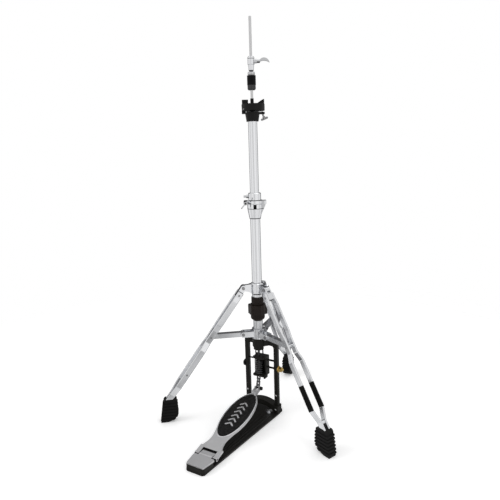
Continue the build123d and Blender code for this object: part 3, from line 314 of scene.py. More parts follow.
def make_finish(name, colour, metallic, rough, grain=900.0, bump=0.05, bump_mm=0.04, stretch=1.0,
                drift=0.12, smudge=0.0, smudge_scale=22.0, dust=0.0, dust_colour=(0.30, 0.29, 0.27),
                coat=0.0, coat_rough=0.1, sheen=0.0, specular=0.5, rim=0.0, painted_shade_colour=(0.05, 0.05, 0.055),
                rings=(), gaps=False, under=0.0, side=None):
    """One finish: tone drift, smudges, dust, painted shade at the rims, in lines, in gaps, on undersides
    and on one side, and a grain that bumps.
    """
    made = bpy.data.materials.new(name)
    made.use_nodes = True
    tree = made.node_tree
    shader = tree.nodes["Principled BSDF"]
    shader.inputs["Metallic"].default_value = metallic
    shader.inputs["Coat Weight"].default_value = coat
    shader.inputs["Coat Roughness"].default_value = coat_rough
    shader.inputs["Sheen Weight"].default_value = sheen
    shader.inputs["Specular IOR Level"].default_value = specular
    grain_node = group_node(tree, "surface_grain", scale=grain, stretch=stretch)
    darker = tuple(channel * (1.0 - drift) for channel in colour)
    lighter = tuple(min(1.0, channel * (1.0 + drift)) for channel in colour)
    base = mix_colour(tree, grain_node.outputs["Drift"], darker, lighter)
    low = rough * 0.86
    rough_range = add_node(tree, "ShaderNodeMapRange", {"Value": grain_node.outputs["Height"],
                                                        "To Min": low, "To Max": min(1.0, rough * 1.16)})
    rough_out = rough_range.outputs["Result"]
    if smudge:
        mask = group_node(tree, "hand_smudges", scale=smudge_scale, amount=smudge).outputs["Mask"]
        added = math_node(tree, "MULTIPLY_ADD", mask, 0.35, rough_out)
        rough_out = added.outputs[0]
    if dust:
        mask = group_node(tree, "settled_dust", amount=dust).outputs["Mask"]
        base = mix_colour(tree, mask, base, dust_colour)
        added = math_node(tree, "MULTIPLY_ADD", mask, 0.4, rough_out, use_clamp=True)
        rough_out = added.outputs[0]
    if rim:
        # painted shade: the base colour darkens towards the grazing edges, where the surface turns from the
        # view
        facing = add_node(tree, "ShaderNodeLayerWeight", {"Blend": 0.5}).outputs["Facing"]
        edge = add_node(tree, "ShaderNodeMapRange", {"Value": facing, "From Min": 0.50, "From Max": 0.90,
                                                     "To Max": rim}, interpolation_type="SMOOTHSTEP")
        base = mix_colour(tree, edge.outputs["Result"], base, painted_shade_colour)
        shader.inputs["Specular Tint"].default_value = (0.35, 0.35, 0.37, 1.0)
    if rings:
        # painted shade in thin dark lines round the collar and the clutch, at the listed heights
        values = {}
        for number, (height, half) in enumerate(rings, 1):
            values["z%d" % number] = height * MM
            values["half%d" % number] = half * MM
        mask = group_node(tree, "painted_shade_lines", **values).outputs["Mask"]
        base = mix_colour(tree, mask, base, painted_shade_colour)
    if side:
        turn, limit = side
        # painted shade: one side of the collar, past a limit, is made near black
        mask = group_node(tree, "one_side", toward_x=math.cos(turn), toward_y=math.sin(turn),
                          limit=limit * MM).outputs["Mask"]
        base = mix_colour(tree, mask, base, (0.006, 0.006, 0.006))
    if gaps:
        # painted shade: faces inside the hinge gaps go near black and matt
        mask = group_node(tree, "hinge_gap_shade").outputs["Mask"]
        base = mix_colour(tree, mask, base, (0.004, 0.004, 0.004))
        matt = math_node(tree, "MULTIPLY_ADD", mask, 0.5, rough_out, use_clamp=True)
        rough_out = matt.outputs[0]
    if under:
        # painted shade on the faces that look down
        mask = group_node(tree, "underside_shade", amount=under).outputs["Mask"]
        base = mix_colour(tree, mask, base, painted_shade_colour)
    tree.links.new(base, shader.inputs["Base Color"])
    tree.links.new(rough_out, shader.inputs["Roughness"])
    relief = add_node(tree, "ShaderNodeBump", {"Strength": bump, "Distance": bump_mm * MM,
                                               "Height": grain_node.outputs["Height"]})
    tree.links.new(relief.outputs["Normal"], shader.inputs["Normal"])
    return made


FINISHES = {}

NODE_FINISH = {
    "chrome": ("lower_tube", "upper_tube", "memory_lock", "leg_bracket", "strut_hub",
               "anchor_spur_left", "anchor_spur_right",
               "leg_bars_right", "leg_bars_left", "leg_bars_rear", "leg_knuckle_right",
               "leg_knuckle_left", "leg_knuckle_rear", "strut_right", "strut_left", "strut_rear"),
    "collar_chrome": ("height_collar",),
    "clutch_chrome": ("clutch_body", "clutch_lock_nut"),
    "wing_chrome": ("clutch_wing_screw", "height_wing_nut", "bracket_wing_screw", "memory_lock_key"),
    "rod_steel": ("pull_rod_upper", "seat_hinge_pin"),
    "shaded_rod_steel": ("pull_rod_lower", "rod_coupling", "heel_hinge_pin", "height_bolt"),
    "nut_steel": ("clutch_bottom_nut",),
    "dark_steel": ("tilt_screw", "leg_pivot_pins", "hub_pins", "clutch_washer"),
    "satin_board": ("footboard", "heel_plate", "toe_clip"),
    "black_coat": ("base_plate", "rear_bridge", "arch_frame", "spring_cage"),
    "black_plastic": ("seat_cup", "seat_cone", "seat_post", "side_bolt_left", "toe_pin", "tube_bushing",
                      "spring_collar"),
    "dial_plastic": ("dial_sleeve", "dial_ring", "dial_nut"),
    "tread_rubber": ("footboard_pad",),
    "foot_rubber": ("leg_foot_right", "leg_foot_left", "leg_foot_rear"),
    "felt": ("clutch_felts",),
    "yellow_bolt": ("side_bolt_right",),
    "spring_wire": ("return_spring", "cage_hangers"),
    "chain_steel": ("drive_chain",),
}


# each line of painted shade is (its height, half its width) in millimetres
COLLAR_SHADE_LINES = ((664.0, 1.0), (640.0, 0.8), (612.0, 1.2))
CLUTCH_SHADE_LINES = ((1016.6, 1.9), (1012.4, 0.7), (1048.5, 0.7))
# painted shade on the collar's ears: their direction round the tube, and how far from the tube's middle
# they start
EAR_SHADE = (math.radians(210.0), 21.6)


def make_finishes():
    """Make every node group and every finish of the object."""
    tint = colours()
    GROUPS["surface_grain"] = make_grain_group()
    GROUPS["hand_smudges"] = make_smudge_group()
    GROUPS["settled_dust"] = make_dust_group()
    GROUPS["painted_shade_lines"] = make_ring_group()
    GROUPS["hinge_gap_shade"] = make_gap_group()
    GROUPS["underside_shade"] = make_under_group()
    GROUPS["one_side"] = make_side_group()
    plated = {"grain": 140.0, "drift": 0.02, "smudge": 0.25, "smudge_scale": 30.0}
    made = {
        "chrome": make_finish("chrome", tint.chrome, 1.0, 0.13, bump=0.001, rim=0.94, **plated),
        "collar_chrome": make_finish("collar_chrome", tint.chrome, 1.0, 0.09, bump=0.003, rim=0.95,
                                     rings=COLLAR_SHADE_LINES, side=EAR_SHADE, **plated),
        "clutch_chrome": make_finish("clutch_chrome", tint.chrome, 1.0, 0.09, bump=0.003, rim=0.95,
                                     rings=CLUTCH_SHADE_LINES, **plated),
        # the wing screws and nuts get painted shade on their undersides
        "wing_chrome": make_finish("wing_chrome", tint.chrome, 1.0, 0.08, bump=0.003, rim=0.9, under=0.97,
                                   **plated),
        "rod_steel": make_finish("rod_steel", [c * 0.88 for c in tint.steel], 1.0, 0.26, grain=700.0,
                                 stretch=0.05, bump=0.004, drift=0.03, smudge=0.15, rim=0.95),
        # painted shade: the same steel as the upper rod, darkened to stand for the shade low down in the
        # cage
        "shaded_rod_steel": make_finish("shaded_rod_steel", [c * 0.16 for c in tint.steel], 1.0, 0.36,
                                       grain=700.0, stretch=0.05, bump=0.01, drift=0.08, smudge=0.2,
                                       rim=0.9),
        "nut_steel": make_finish("nut_steel", [c * 0.07 for c in tint.steel], 0.6, 0.34, grain=900.0,
                                 drift=0.1),
        "dark_steel": make_finish("dark_steel", [c * 0.45 for c in tint.steel], 1.0, 0.24, grain=900.0,
                                  drift=0.06, rim=0.8),
        # the footboard and heel plate get painted shade inside the hinge gaps
        "satin_board": make_finish("satin_board", tint.board, 0.55, 0.42, grain=1500.0, bump=0.22,
                                   bump_mm=0.08, drift=0.05, smudge=0.18, smudge_scale=40.0, dust=0.08,
                                   gaps=True),
        "black_coat": make_finish("black_coat", tint.coat, 0.0, 0.40, grain=1300.0, bump=0.30, bump_mm=0.10,
                                  drift=0.16, smudge=0.2, dust=0.04, specular=0.16),
        "black_plastic": make_finish("black_plastic", tint.plastic, 0.0, 0.36, grain=1800.0, bump=0.16,
                                     bump_mm=0.06, smudge=0.25, dust=0.03, specular=0.15),
        "dial_plastic": make_finish("dial_plastic", tint.dial, 0.0, 0.34, grain=1500.0, bump=0.15,
                                    bump_mm=0.06, smudge=0.2, dust=0.04, specular=0.2),
        "tread_rubber": make_finish("tread_rubber", tint.rubber, 0.0, 0.55, grain=1100.0, bump=0.30,
                                    bump_mm=0.10, dust=0.10, specular=0.18),
        "foot_rubber": make_finish("foot_rubber", tint.rubber, 0.0, 0.52, grain=1200.0, bump=0.30,
                                   bump_mm=0.10, dust=0.05, specular=0.14),
        "felt": make_finish("felt", tint.felt, 0.0, 0.95, grain=2600.0, bump=0.8, bump_mm=0.35, drift=0.35,
                            dust=0.05, sheen=0.08, specular=0.08),
        "yellow_bolt": make_finish("yellow_bolt", tint.bolt, 1.0, 0.26, grain=800.0, drift=0.14,
                                   smudge=0.3),
        "spring_wire": make_finish("spring_wire", [c * 1.15 for c in tint.spring], 1.0, 0.38, grain=1200.0,
                                   drift=0.2, smudge=0.2, rim=0.9),
        "chain_steel": make_finish("chain_steel", [c * 1.7 for c in tint.spring], 1.0, 0.30, grain=1100.0,
                                   drift=0.2, smudge=0.3),
        "label_film": make_finish("label_film", (0.004, 0.004, 0.004), 0.0, 0.3, grain=500.0, bump=0.03,
                                  smudge=0.2, specular=0.1),
        "polished_rim": make_finish("polished_rim", [min(1.0, c * 1.45) for c in tint.board], 0.8, 0.24,
                                    grain=700.0, drift=0.03, smudge=0.15),
    }
    FINISHES.update(made)


# ------------------------------------------------------------------ mesh helpers
def link_piece(name, mesh, body, finish):
    """Make the finished object, give it its material and let it ride on its body."""
    if not mesh.vertices:
        raise RuntimeError(name + " came out empty")
    made = bpy.data.objects.new(name, mesh)
    bpy.context.scene.collection.objects.link(made)
    if not mesh.materials:
        mesh.materials.append(FINISHES[finish])
    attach(made, body)
    return made


def geometry_tree(name, takes):
    """Start a geometry tree with named inputs; returns the tree and its input node."""
    tree = bpy.data.node_groups.new(name, "GeometryNodeTree")
    tree.interface.new_socket("Geometry", in_out="INPUT", socket_type="NodeSocketGeometry")
    for label, kind, default in takes:
        socket = tree.interface.new_socket(label, in_out="INPUT", socket_type="NodeSocket" + kind)
        socket.default_value = default
    tree.interface.new_socket("Material", in_out="INPUT", socket_type="NodeSocketMaterial")
    tree.interface.new_socket("Geometry", in_out="OUTPUT", socket_type="NodeSocketGeometry")
    return tree, tree.nodes.new("NodeGroupInput")


def close_tree(tree, took, geometry, smooth=True):
    """End a geometry tree: real geometry, shading and material."""
    real = add_node(tree, "GeometryNodeRealizeInstances", {"Geometry": geometry})
    shade = add_node(tree, "GeometryNodeSetShadeSmooth", {"Geometry": real.outputs[0],
                                                          "Shade Smooth": smooth})
    dress = add_node(tree, "GeometryNodeSetMaterial", {"Geometry": shade.outputs[0],
                                                       "Material": took.outputs["Material"]})
    end = tree.nodes.new("NodeGroupOutput")
    tree.links.new(dress.outputs[0], end.inputs["Geometry"])


def grow(name, tree, values, finish, mesh=None, place=None):
    """Run a geometry tree once and return its result as a plain mesh."""
    source = bpy.data.objects.new(name + "_source", mesh or bpy.data.meshes.new(name + "_points"))
    bpy.context.scene.collection.objects.link(source)
    modifier = source.modifiers.new("grow", "NODES")
    modifier.node_group = tree
    values = dict(values, Material=FINISHES[finish])
    for item in tree.interface.items_tree:
        if item.in_out == "INPUT" and item.name in values:
            modifier[item.identifier] = values[item.name]
    graph = bpy.context.evaluated_depsgraph_get()
    made = bpy.data.meshes.new_from_object(source.evaluated_get(graph), depsgraph=graph)
    made.name = name
    source.modifiers.remove(modifier)
    bpy.data.objects.remove(source)
    if place is not None:
        made.transform(place)
    return made


def join_meshes(name, meshes):
    """One mesh from several, keeping the first one's material."""
    joined = bmesh.new()
    for mesh in meshes:
        joined.from_mesh(mesh)
    made = bpy.data.meshes.new(name)
    joined.to_mesh(made)
    joined.free()
    made.materials.append(meshes[0].materials[0])
    made.shade_smooth()
    return made


def point_mesh(name, points):
    """Loose points that carry the direction they face."""
    mesh = bpy.data.meshes.new(name)
    mesh.from_pydata([spot for spot, _ in points], [], [])
    facing = mesh.attributes.new("facing", "FLOAT_VECTOR", "POINT")
    for number, (_, way) in enumerate(points):
        facing.data[number].vector = way
    return mesh


# ------------------------------------------------------------------ geometry trees
def rivet_tree():
    tree, took = geometry_tree("rivet_heads", [("Radius", "Float", 0.003), ("Height", "Float", 0.0015),
                                               ("Segments", "Int", 20)])
    ball = add_node(tree, "GeometryNodeMeshUVSphere", {"Segments": took.outputs["Segments"], "Rings": 8,
                                                       "Radius": 1.0})
    squeeze = add_node(tree, "ShaderNodeCombineXYZ", {"X": took.outputs["Radius"],
                                                      "Y": took.outputs["Radius"],
                                                      "Z": took.outputs["Height"]})
    head = add_node(tree, "GeometryNodeTransform", {"Geometry": ball.outputs["Mesh"],
                                                    "Scale": squeeze.outputs[0]})
    facing = add_node(tree, "GeometryNodeInputNamedAttribute", {"Name": "facing"}, data_type="FLOAT_VECTOR")
    turn = add_node(tree, "FunctionNodeAlignRotationToVector", {"Vector": facing.outputs[0]}, axis="Z")
    heads = add_node(tree, "GeometryNodeInstanceOnPoints", {"Points": took.outputs["Geometry"],
                                                            "Instance": head.outputs[0],
                                                            "Rotation": turn.outputs[0]})
    close_tree(tree, took, heads.outputs[0])
    return tree


def ridge_ring_tree():
    tree, took = geometry_tree("ridge_ring", [("Count", "Int", 30), ("Radius", "Float", 0.01),
                                              ("Width", "Float", 0.001), ("Length", "Float", 0.01),
                                              ("Height", "Float", 0.0)])
    ring = add_node(tree, "GeometryNodeMeshCircle", {"Vertices": took.outputs["Count"],
                                                     "Radius": took.outputs["Radius"]})
    half = math_node(tree, "MULTIPLY", took.outputs["Width"], 0.5)
    ridge = add_node(tree, "GeometryNodeMeshCylinder", {"Vertices": 8, "Radius": half.outputs[0],
                                                        "Depth": took.outputs["Length"]})
    ridges = add_node(tree, "GeometryNodeInstanceOnPoints", {"Points": ring.outputs[0],
                                                             "Instance": ridge.outputs["Mesh"]})
    lift = add_node(tree, "ShaderNodeCombineXYZ", {"Z": took.outputs["Height"]})
    lifted = add_node(tree, "GeometryNodeTransform", {"Geometry": ridges.outputs[0],
                                                      "Translation": lift.outputs[0]})
    close_tree(tree, took, lifted.outputs[0], smooth=False)
    return tree


def thread_tree():
    tree, took = geometry_tree("screw_thread", [("Radius", "Float", 0.003), ("Pitch", "Float", 0.001),
                                                ("Turns", "Float", 6.0), ("Depth", "Float", 0.0004),
                                                ("Steps", "Int", 20), ("Sides", "Int", 5)])
    rise = math_node(tree, "MULTIPLY", took.outputs["Pitch"], took.outputs["Turns"])
    helix = add_node(tree, "GeometryNodeCurveSpiral", {"Resolution": took.outputs["Steps"],
                                                       "Rotations": took.outputs["Turns"],
                                                       "Start Radius": took.outputs["Radius"],
                                                       "End Radius": took.outputs["Radius"],
                                                       "Height": rise.outputs[0]})
    crest = add_node(tree, "GeometryNodeCurvePrimitiveCircle", {"Resolution": took.outputs["Sides"],
                                                                "Radius": took.outputs["Depth"]})
    wire = add_node(tree, "GeometryNodeCurveToMesh", {"Curve": helix.outputs[0],
                                                      "Profile Curve": crest.outputs[0], "Fill Caps": True})
    close_tree(tree, took, wire.outputs[0])
    return tree


def oval_tread_tree():
    """Straight ridges along X, as long as an oval is at each one's place."""
    tree, took = geometry_tree("oval_tread", [("Half Length", "Float", 0.09),
                                              ("Half Width", "Float", 0.035),
                                              ("Pitch", "Float", 0.0026), ("Width", "Float", 0.0016)])
    across = math_node(tree, "MULTIPLY", took.outputs["Half Width"], 2.0)
    share = math_node(tree, "DIVIDE", across.outputs[0], took.outputs["Pitch"])
    count = add_node(tree, "FunctionNodeFloatToInt", {0: share.outputs[0]}, rounding_mode="FLOOR")
    first = math_node(tree, "MULTIPLY", took.outputs["Pitch"], 0.5)
    start = math_node(tree, "SUBTRACT", first.outputs[0], took.outputs["Half Width"])
    start_at = add_node(tree, "ShaderNodeCombineXYZ", {"Y": start.outputs[0]})
    step = add_node(tree, "ShaderNodeCombineXYZ", {"Y": took.outputs["Pitch"]})
    line = add_node(tree, "GeometryNodeMeshLine", {"Count": count.outputs[0],
                                                   "Start Location": start_at.outputs[0],
                                                   "Offset": step.outputs[0]})
    spot = add_node(tree, "GeometryNodeInputPosition")
    side = add_node(tree, "ShaderNodeSeparateXYZ", {0: spot.outputs[0]})
    part = math_node(tree, "DIVIDE", side.outputs["Y"], took.outputs["Half Width"])
    square = math_node(tree, "MULTIPLY", part.outputs[0], part.outputs[0])
    rest = math_node(tree, "SUBTRACT", 1.0, square.outputs[0])
    root = math_node(tree, "SQRT", rest.outputs[0])
    reach = math_node(tree, "MULTIPLY", root.outputs[0], took.outputs["Half Length"])
    ridge = add_node(tree, "GeometryNodeMeshCylinder", {"Vertices": 8, "Radius": 0.5, "Depth": 2.0})
    laid = add_node(tree, "GeometryNodeTransform", {"Geometry": ridge.outputs["Mesh"],
                                                    "Rotation": (0.0, math.pi / 2, 0.0)})
    size = add_node(tree, "ShaderNodeCombineXYZ", {"X": reach.outputs[0], "Y": took.outputs["Width"],
                                                   "Z": took.outputs["Width"]})
    ridges = add_node(tree, "GeometryNodeInstanceOnPoints", {"Points": line.outputs[0],
                                                             "Instance": laid.outputs[0],
                                                             "Scale": size.outputs[0]})
    close_tree(tree, took, ridges.outputs[0], smooth=False)
    return tree


def rib_tree():
    """One straight round rib between two places, half sunk where it lies."""
    tree, took = geometry_tree("long_rib", [("Start", "Vector", (0, 0, 0)), ("End", "Vector", (0, 1, 0)),
                                            ("Radius", "Float", 0.002)])
    line = add_node(tree, "GeometryNodeCurvePrimitiveLine", {"Start": took.outputs["Start"],
                                                             "End": took.outputs["End"]})
    ring = add_node(tree, "GeometryNodeCurvePrimitiveCircle", {"Resolution": 14,
                                                               "Radius": took.outputs["Radius"]})
    rib = add_node(tree, "GeometryNodeCurveToMesh", {"Curve": line.outputs[0],
                                                     "Profile Curve": ring.outputs[0], "Fill Caps": True})
    close_tree(tree, took, rib.outputs[0])
    return tree


def chevron_tree():
    """A row of plain raised chevrons along X."""
    tree, took = geometry_tree("grip_chevrons", [("Count", "Int", 5), ("Pitch", "Float", 0.018),
                                                 ("Arm", "Float", 0.016), ("Width", "Float", 0.005),
                                                 ("Thick", "Float", 0.0012)])
    size = add_node(tree, "ShaderNodeCombineXYZ", {"X": took.outputs["Arm"], "Y": took.outputs["Width"],
                                                   "Z": took.outputs["Thick"]})
    bar = add_node(tree, "GeometryNodeMeshCube", {"Size": size.outputs[0]})
    half = math_node(tree, "MULTIPLY", took.outputs["Arm"], 0.36)
    both = add_node(tree, "GeometryNodeJoinGeometry")
    for side in (1.0, -1.0):
        out = math_node(tree, "MULTIPLY", half.outputs[0], side)
        shift = add_node(tree, "ShaderNodeCombineXYZ", {"Y": out.outputs[0]})
        arm = add_node(tree, "GeometryNodeTransform", {"Geometry": bar.outputs["Mesh"],
                                                       "Translation": shift.outputs[0],
                                                       "Rotation": (0.0, 0.0, -side * 0.87)})
        tree.links.new(arm.outputs[0], both.inputs[0])
    step = add_node(tree, "ShaderNodeCombineXYZ", {"X": took.outputs["Pitch"]})
    line = add_node(tree, "GeometryNodeMeshLine", {"Count": took.outputs["Count"],
                                                   "Offset": step.outputs[0]})
    row = add_node(tree, "GeometryNodeInstanceOnPoints", {"Points": line.outputs[0],
                                                          "Instance": both.outputs[0]})
    close_tree(tree, took, row.outputs[0], smooth=False)
    return tree


# ------------------------------------------------------------------ places
def leg_frame(name):
    """A matrix from a leg's own axes (along it, across it, out of its back) to the stand's."""
    joint = JOINTS["leg_" + name + "_fold"]
    pivot = Vector(joint["pos_m"])
    out = Vector((pivot.x, pivot.y, 0)).normalized()
    across = Vector((-out.y, out.x, 0))
    lean = sizes().leg_lean
    along = out * math.sin(lean) - Vector((0, 0, math.cos(lean)))
    back = out * math.cos(lean) + Vector((0, 0, math.sin(lean)))
    return Matrix.Translation(pivot) @ Matrix((along, across, back)).transposed().to_4x4()


def board_frame():
    """A matrix from the footboard's own axes (up it, across it, out of its top) to the stand's."""
    hinge = Vector(JOINTS["pedal_press"]["pos_m"])
    rise = math.radians(13.0)
    along = Vector((0, math.cos(rise), math.sin(rise)))
    across = Vector((-1, 0, 0))
    return Matrix.Translation(hinge) @ Matrix((along, across, along.cross(across))).transposed().to_4x4()


def axis_frame(spot, way):
    """A matrix that stands a shape drawn along Z on a point, along a direction."""
    turn = Vector(way).to_track_quat("Z", "Y").to_matrix().to_4x4()
    return Matrix.Translation(Vector(spot)) @ turn


# ------------------------------------------------------------------ operators
class HIHAT_OT_finishes(bpy.types.Operator):
    """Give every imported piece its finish"""
    bl_idname = "hihat.finishes"
    bl_label = "Finishes"

    def execute(self, context):
        make_finishes()
        dressed = set()
        for finish, names in NODE_FINISH.items():
            for name in names:
                node = frame["nodes"][name]
                if not node.material_slots:
                    node.data.materials.append(FINISHES[finish])
                for slot in node.material_slots:
                    slot.material = FINISHES[finish]
                dressed.add(name)
        missing = set(frame["nodes"]) - dressed
        if missing:
            raise RuntimeError("no finish for " + ", ".join(sorted(missing)))
        return {"FINISHED"}


class HIHAT_OT_leg_rivets(bpy.types.Operator):
    """Put the rivets on the bars and struts of the legs"""
    bl_idname = "hihat.leg_rivets"
    bl_label = "Leg rivets"

    def execute(self, context):
        size = sizes()
        tree = rivet_tree()
        for name in LEGS:
            place = leg_frame(name)
            turn = place.to_3x3()
            points = []
            for side in (1, -1):
                rows = [(24 * MM, size.head_outer), (size.strut_at, size.pinch_outer)]
                if name != "right":
                    rows.append((310 * MM, size.bar_outer))
                for along, outer in rows:
                    spot = place @ Vector((along, side * outer, 0))
                    points.append((spot, turn @ Vector((0, side, 0))))
            values = {"Radius": size.rivet_radius, "Height": size.rivet_height}
            mesh = grow("leg_rivets_" + name, tree, values, "dark_steel", point_mesh("spots", points))
            link_piece("leg_rivets_" + name, mesh, "leg_" + name, "dark_steel")
        return {"FINISHED"}


class HIHAT_OT_frame_rivets(bpy.types.Operator):
    """Put the rivets and screw heads on the arch frame, base and hub"""
    bl_idname = "hihat.frame_rivets"
    bl_label = "Frame rivets"

    def execute(self, context):
        size = sizes()
        tree = rivet_tree()
        points = []
        for side in (1, -1):
            points.append((Vector((side * 51.5 * MM, 4.0 * MM, 16 * MM)), Vector((0, -1, 0))))
            points.append((Vector((side * 51.5 * MM, 32.0 * MM, 16 * MM)), Vector((0, 1, 0))))
            points.append((Vector((side * 50.5 * MM, 11.0 * MM, 60 * MM)), Vector((0, -1, 0))))
        values = {"Radius": size.rivet_radius * 0.95, "Height": size.rivet_height}
        mesh = grow("frame_rivets", tree, values, "rod_steel", point_mesh("spots", points))
        link_piece("frame_rivets", mesh, "base", "rod_steel")
        hub_low, hub_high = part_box("strut_hub")
        middle = (hub_low.z + hub_high.z) / 2
        points = []
        for name in LEGS:
            pivot = Vector(JOINTS["leg_" + name + "_fold"]["pos_m"])
            way = Vector((-pivot.x, -pivot.y, 0)).normalized()
            points.append((way * 19.0 * MM + Vector((0, 0, middle)), way))
        mesh = grow("hub_rivets", tree, values, "rod_steel", point_mesh("spots", points))
        link_piece("hub_rivets", mesh, "tripod", "rod_steel")
        return {"FINISHED"}


class HIHAT_OT_tread(bpy.types.Operator):
    """Ridge the footboard's pad and edge it with its bright rim and plain chevrons"""
    bl_idname = "hihat.tread"
    bl_label = "Footboard tread"

    def execute(self, context):
        size = sizes()
        board = board_frame()
        top = 3.5 * MM - 1.6 * MM + 2.4 * MM
        values = {"Half Length": size.pad_half_length - 3 * MM, "Half Width": size.pad_half_width - 2 * MM,
                  "Pitch": size.tread_pitch, "Width": size.tread_pitch * 0.62}
        place = board @ Matrix.Translation((size.pad_at, 0, top - 0.15 * MM))
        mesh = grow("pad_ridges", oval_tread_tree(), values, "tread_rubber", place=place)
        link_piece("pad_ridges", mesh, "pedal", "tread_rubber")
        count, pitch = 6, 17 * MM
        values = {"Count": count, "Pitch": pitch, "Arm": 17 * MM, "Width": 4.6 * MM, "Thick": 1.6 * MM}
        start = size.pad_at - pitch * (count - 1) / 2
        place = board @ Matrix.Translation((start, 0, top + 0.5 * MM))
        mesh = grow("pad_chevrons", chevron_tree(), values, "polished_rim", place=place)
        link_piece("pad_chevrons", mesh, "pedal", "polished_rim")
        rim = self.make_rim(size, 3.5 * MM)
        rim.transform(board @ Matrix.Translation((size.pad_at, 0, 0)))
        link_piece("pad_rim", rim, "pedal", "polished_rim")
        return {"FINISHED"}

    def make_rim(self, size, level):
        """An oval bead with a rounded section, drawn flat."""
        rings, around = 120, 10
        made = bmesh.new()
        loops = []
        for step in range(rings):
            turn = 2 * math.pi * step / rings
            mid = Vector(((size.pad_half_length + 0.9 * MM) * math.cos(turn),
                          (size.pad_half_width + 0.9 * MM) * math.sin(turn), level))
            out = Vector((size.pad_half_width * math.cos(turn),
                          size.pad_half_length * math.sin(turn), 0)).normalized()
            loop = []
            for part in range(around):
                angle = 2 * math.pi * part / around
                loop.append(made.verts.new(mid + out * 1.2 * MM * math.cos(angle)
                                           + Vector((0, 0, 1.0 * MM * math.sin(angle)))))
            loops.append(loop)
        for step in range(rings):
            one, two = loops[step], loops[(step + 1) % rings]
            for part in range(around):
                nxt = (part + 1) % around
                made.faces.new((one[part], two[part], two[nxt], one[nxt]))
        bmesh.ops.recalc_face_normals(made, faces=made.faces)
        mesh = bpy.data.meshes.new("pad_rim")
        made.to_mesh(mesh)
        made.free()
        mesh.shade_smooth()
        return mesh


class HIHAT_OT_knurls(bpy.types.Operator):
    """Knurl the clutch nuts and flute the spring dial"""
    bl_idname = "hihat.knurls"
    bl_label = "Knurls"

    def execute(self, context):
        size = sizes()
        tree = ridge_ring_tree()
        rows = (
            ("clutch_lock_nut", "clutch", "chrome", "chrome", 30, 0.75, 0.6, size.knurl_width),
            ("clutch_bottom_nut", "clutch", "nut_steel", "chrome", 34, 0.7, 0.55, size.knurl_width),
            ("dial_sleeve", "base", "dial_plastic", "dial_plastic", 22, 0.9, 0.5, 2.2 * MM),
            ("dial_nut", "base", "dial_plastic", "dial_plastic", 26, 0.55, 0.68, 2.2 * MM),
        )
        for node, body, finish, slot, count, share, at, width in rows:
            low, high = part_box(node)
            tall = high.z - low.z
            drop = 0.04 * tall if share > 0.8 else 0
            values = {"Count": count, "Radius": (high.x - low.x) / 2 - width * 0.12, "Width": width,
                      "Length": tall * share, "Height": low.z + tall * at - drop}
            mesh = grow(node + "_ridges", tree, values, finish)
            link_piece(node + "_ridges", mesh, body, finish)
        return {"FINISHED"}


class HIHAT_OT_threads(bpy.types.Operator):
    """Cut the threads that show on bolts and screws"""
    bl_idname = "hihat.threads"
    bl_label = "Threads"

    def execute(self, context):
        tree = thread_tree()
        low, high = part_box("side_bolt_right")
        middle_y = (low.y + high.y) / 2
        middle_z = (low.z + high.z) / 2
        values = {"Radius": 4.0 * MM, "Pitch": 1.1 * MM, "Turns": 4.5, "Depth": 0.42 * MM}
        place = axis_frame((high.x - 5.6 * MM, middle_y, middle_z), (1, 0, 0))
        mesh = grow("side_bolt_thread", tree, values, "yellow_bolt", place=place)
        link_piece("side_bolt_thread", mesh, "base", "yellow_bolt")
        joint = JOINTS["tilt_screw_turn"]
        way = Vector(joint["axis"])
        way = way if way.z < 0 else -way
        values = {"Radius": 2.5 * MM, "Pitch": 0.9 * MM, "Turns": 3.0, "Depth": 0.32 * MM}
        place = axis_frame(Vector(joint["pos_m"]) + way * 6.0 * MM, way)
        mesh = grow("tilt_screw_thread", tree, values, "rod_steel", place=place)
        link_piece("tilt_screw_thread", mesh, "tilt_knob", "rod_steel")
        return {"FINISHED"}


class HIHAT_OT_spring(bpy.types.Operator):
    """Wind the return spring as a fixed coil that rides on the base"""
    bl_idname = "hihat.spring"
    bl_label = "Return spring"

    def execute(self, context):
        low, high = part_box("return_spring")
        part = sizes()
        wire = part.spring_wire / 2
        length = high.z - low.z - 2 * wire
        values = {"Radius": (high.x - low.x) / 2 - wire, "Pitch": length / part.spring_turns,
                  "Turns": float(part.spring_turns), "Depth": wire, "Steps": 40, "Sides": 12}
        place = Matrix.Translation((0, 0, low.z + wire))
        mesh = grow("coil_spring", thread_tree(), values, "spring_wire", place=place)
        made = link_piece("coil_spring", mesh, "base", "spring_wire")
        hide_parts("return_spring")
        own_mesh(made)
        return {"FINISHED"}


class HIHAT_OT_base_ribs(bpy.types.Operator):
    """Lay the long rounded ribs on the base plate"""
    bl_idname = "hihat.base_ribs"
    bl_label = "Base ribs"

    def execute(self, context):
        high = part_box("base_plate")[1]
        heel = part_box("heel_plate")[1].y
        made = []
        tree = rib_tree()
        for side in (1, -1):
            for near, far in ((14.0, 20.0), (20.0, 32.0), (26.0, 44.0)):
                start = Vector((side * near * MM, heel + 12 * MM, 5.0 * MM))
                end = Vector((side * far * MM, high.y - 58 * MM, 5.0 * MM))
                values = {"Start": start, "End": end, "Radius": 1.9 * MM}
                made.append(grow("rib", tree, values, "black_coat"))
        link_piece("base_ribs", join_meshes("base_ribs", made), "base", "black_coat")
        return {"FINISHED"}


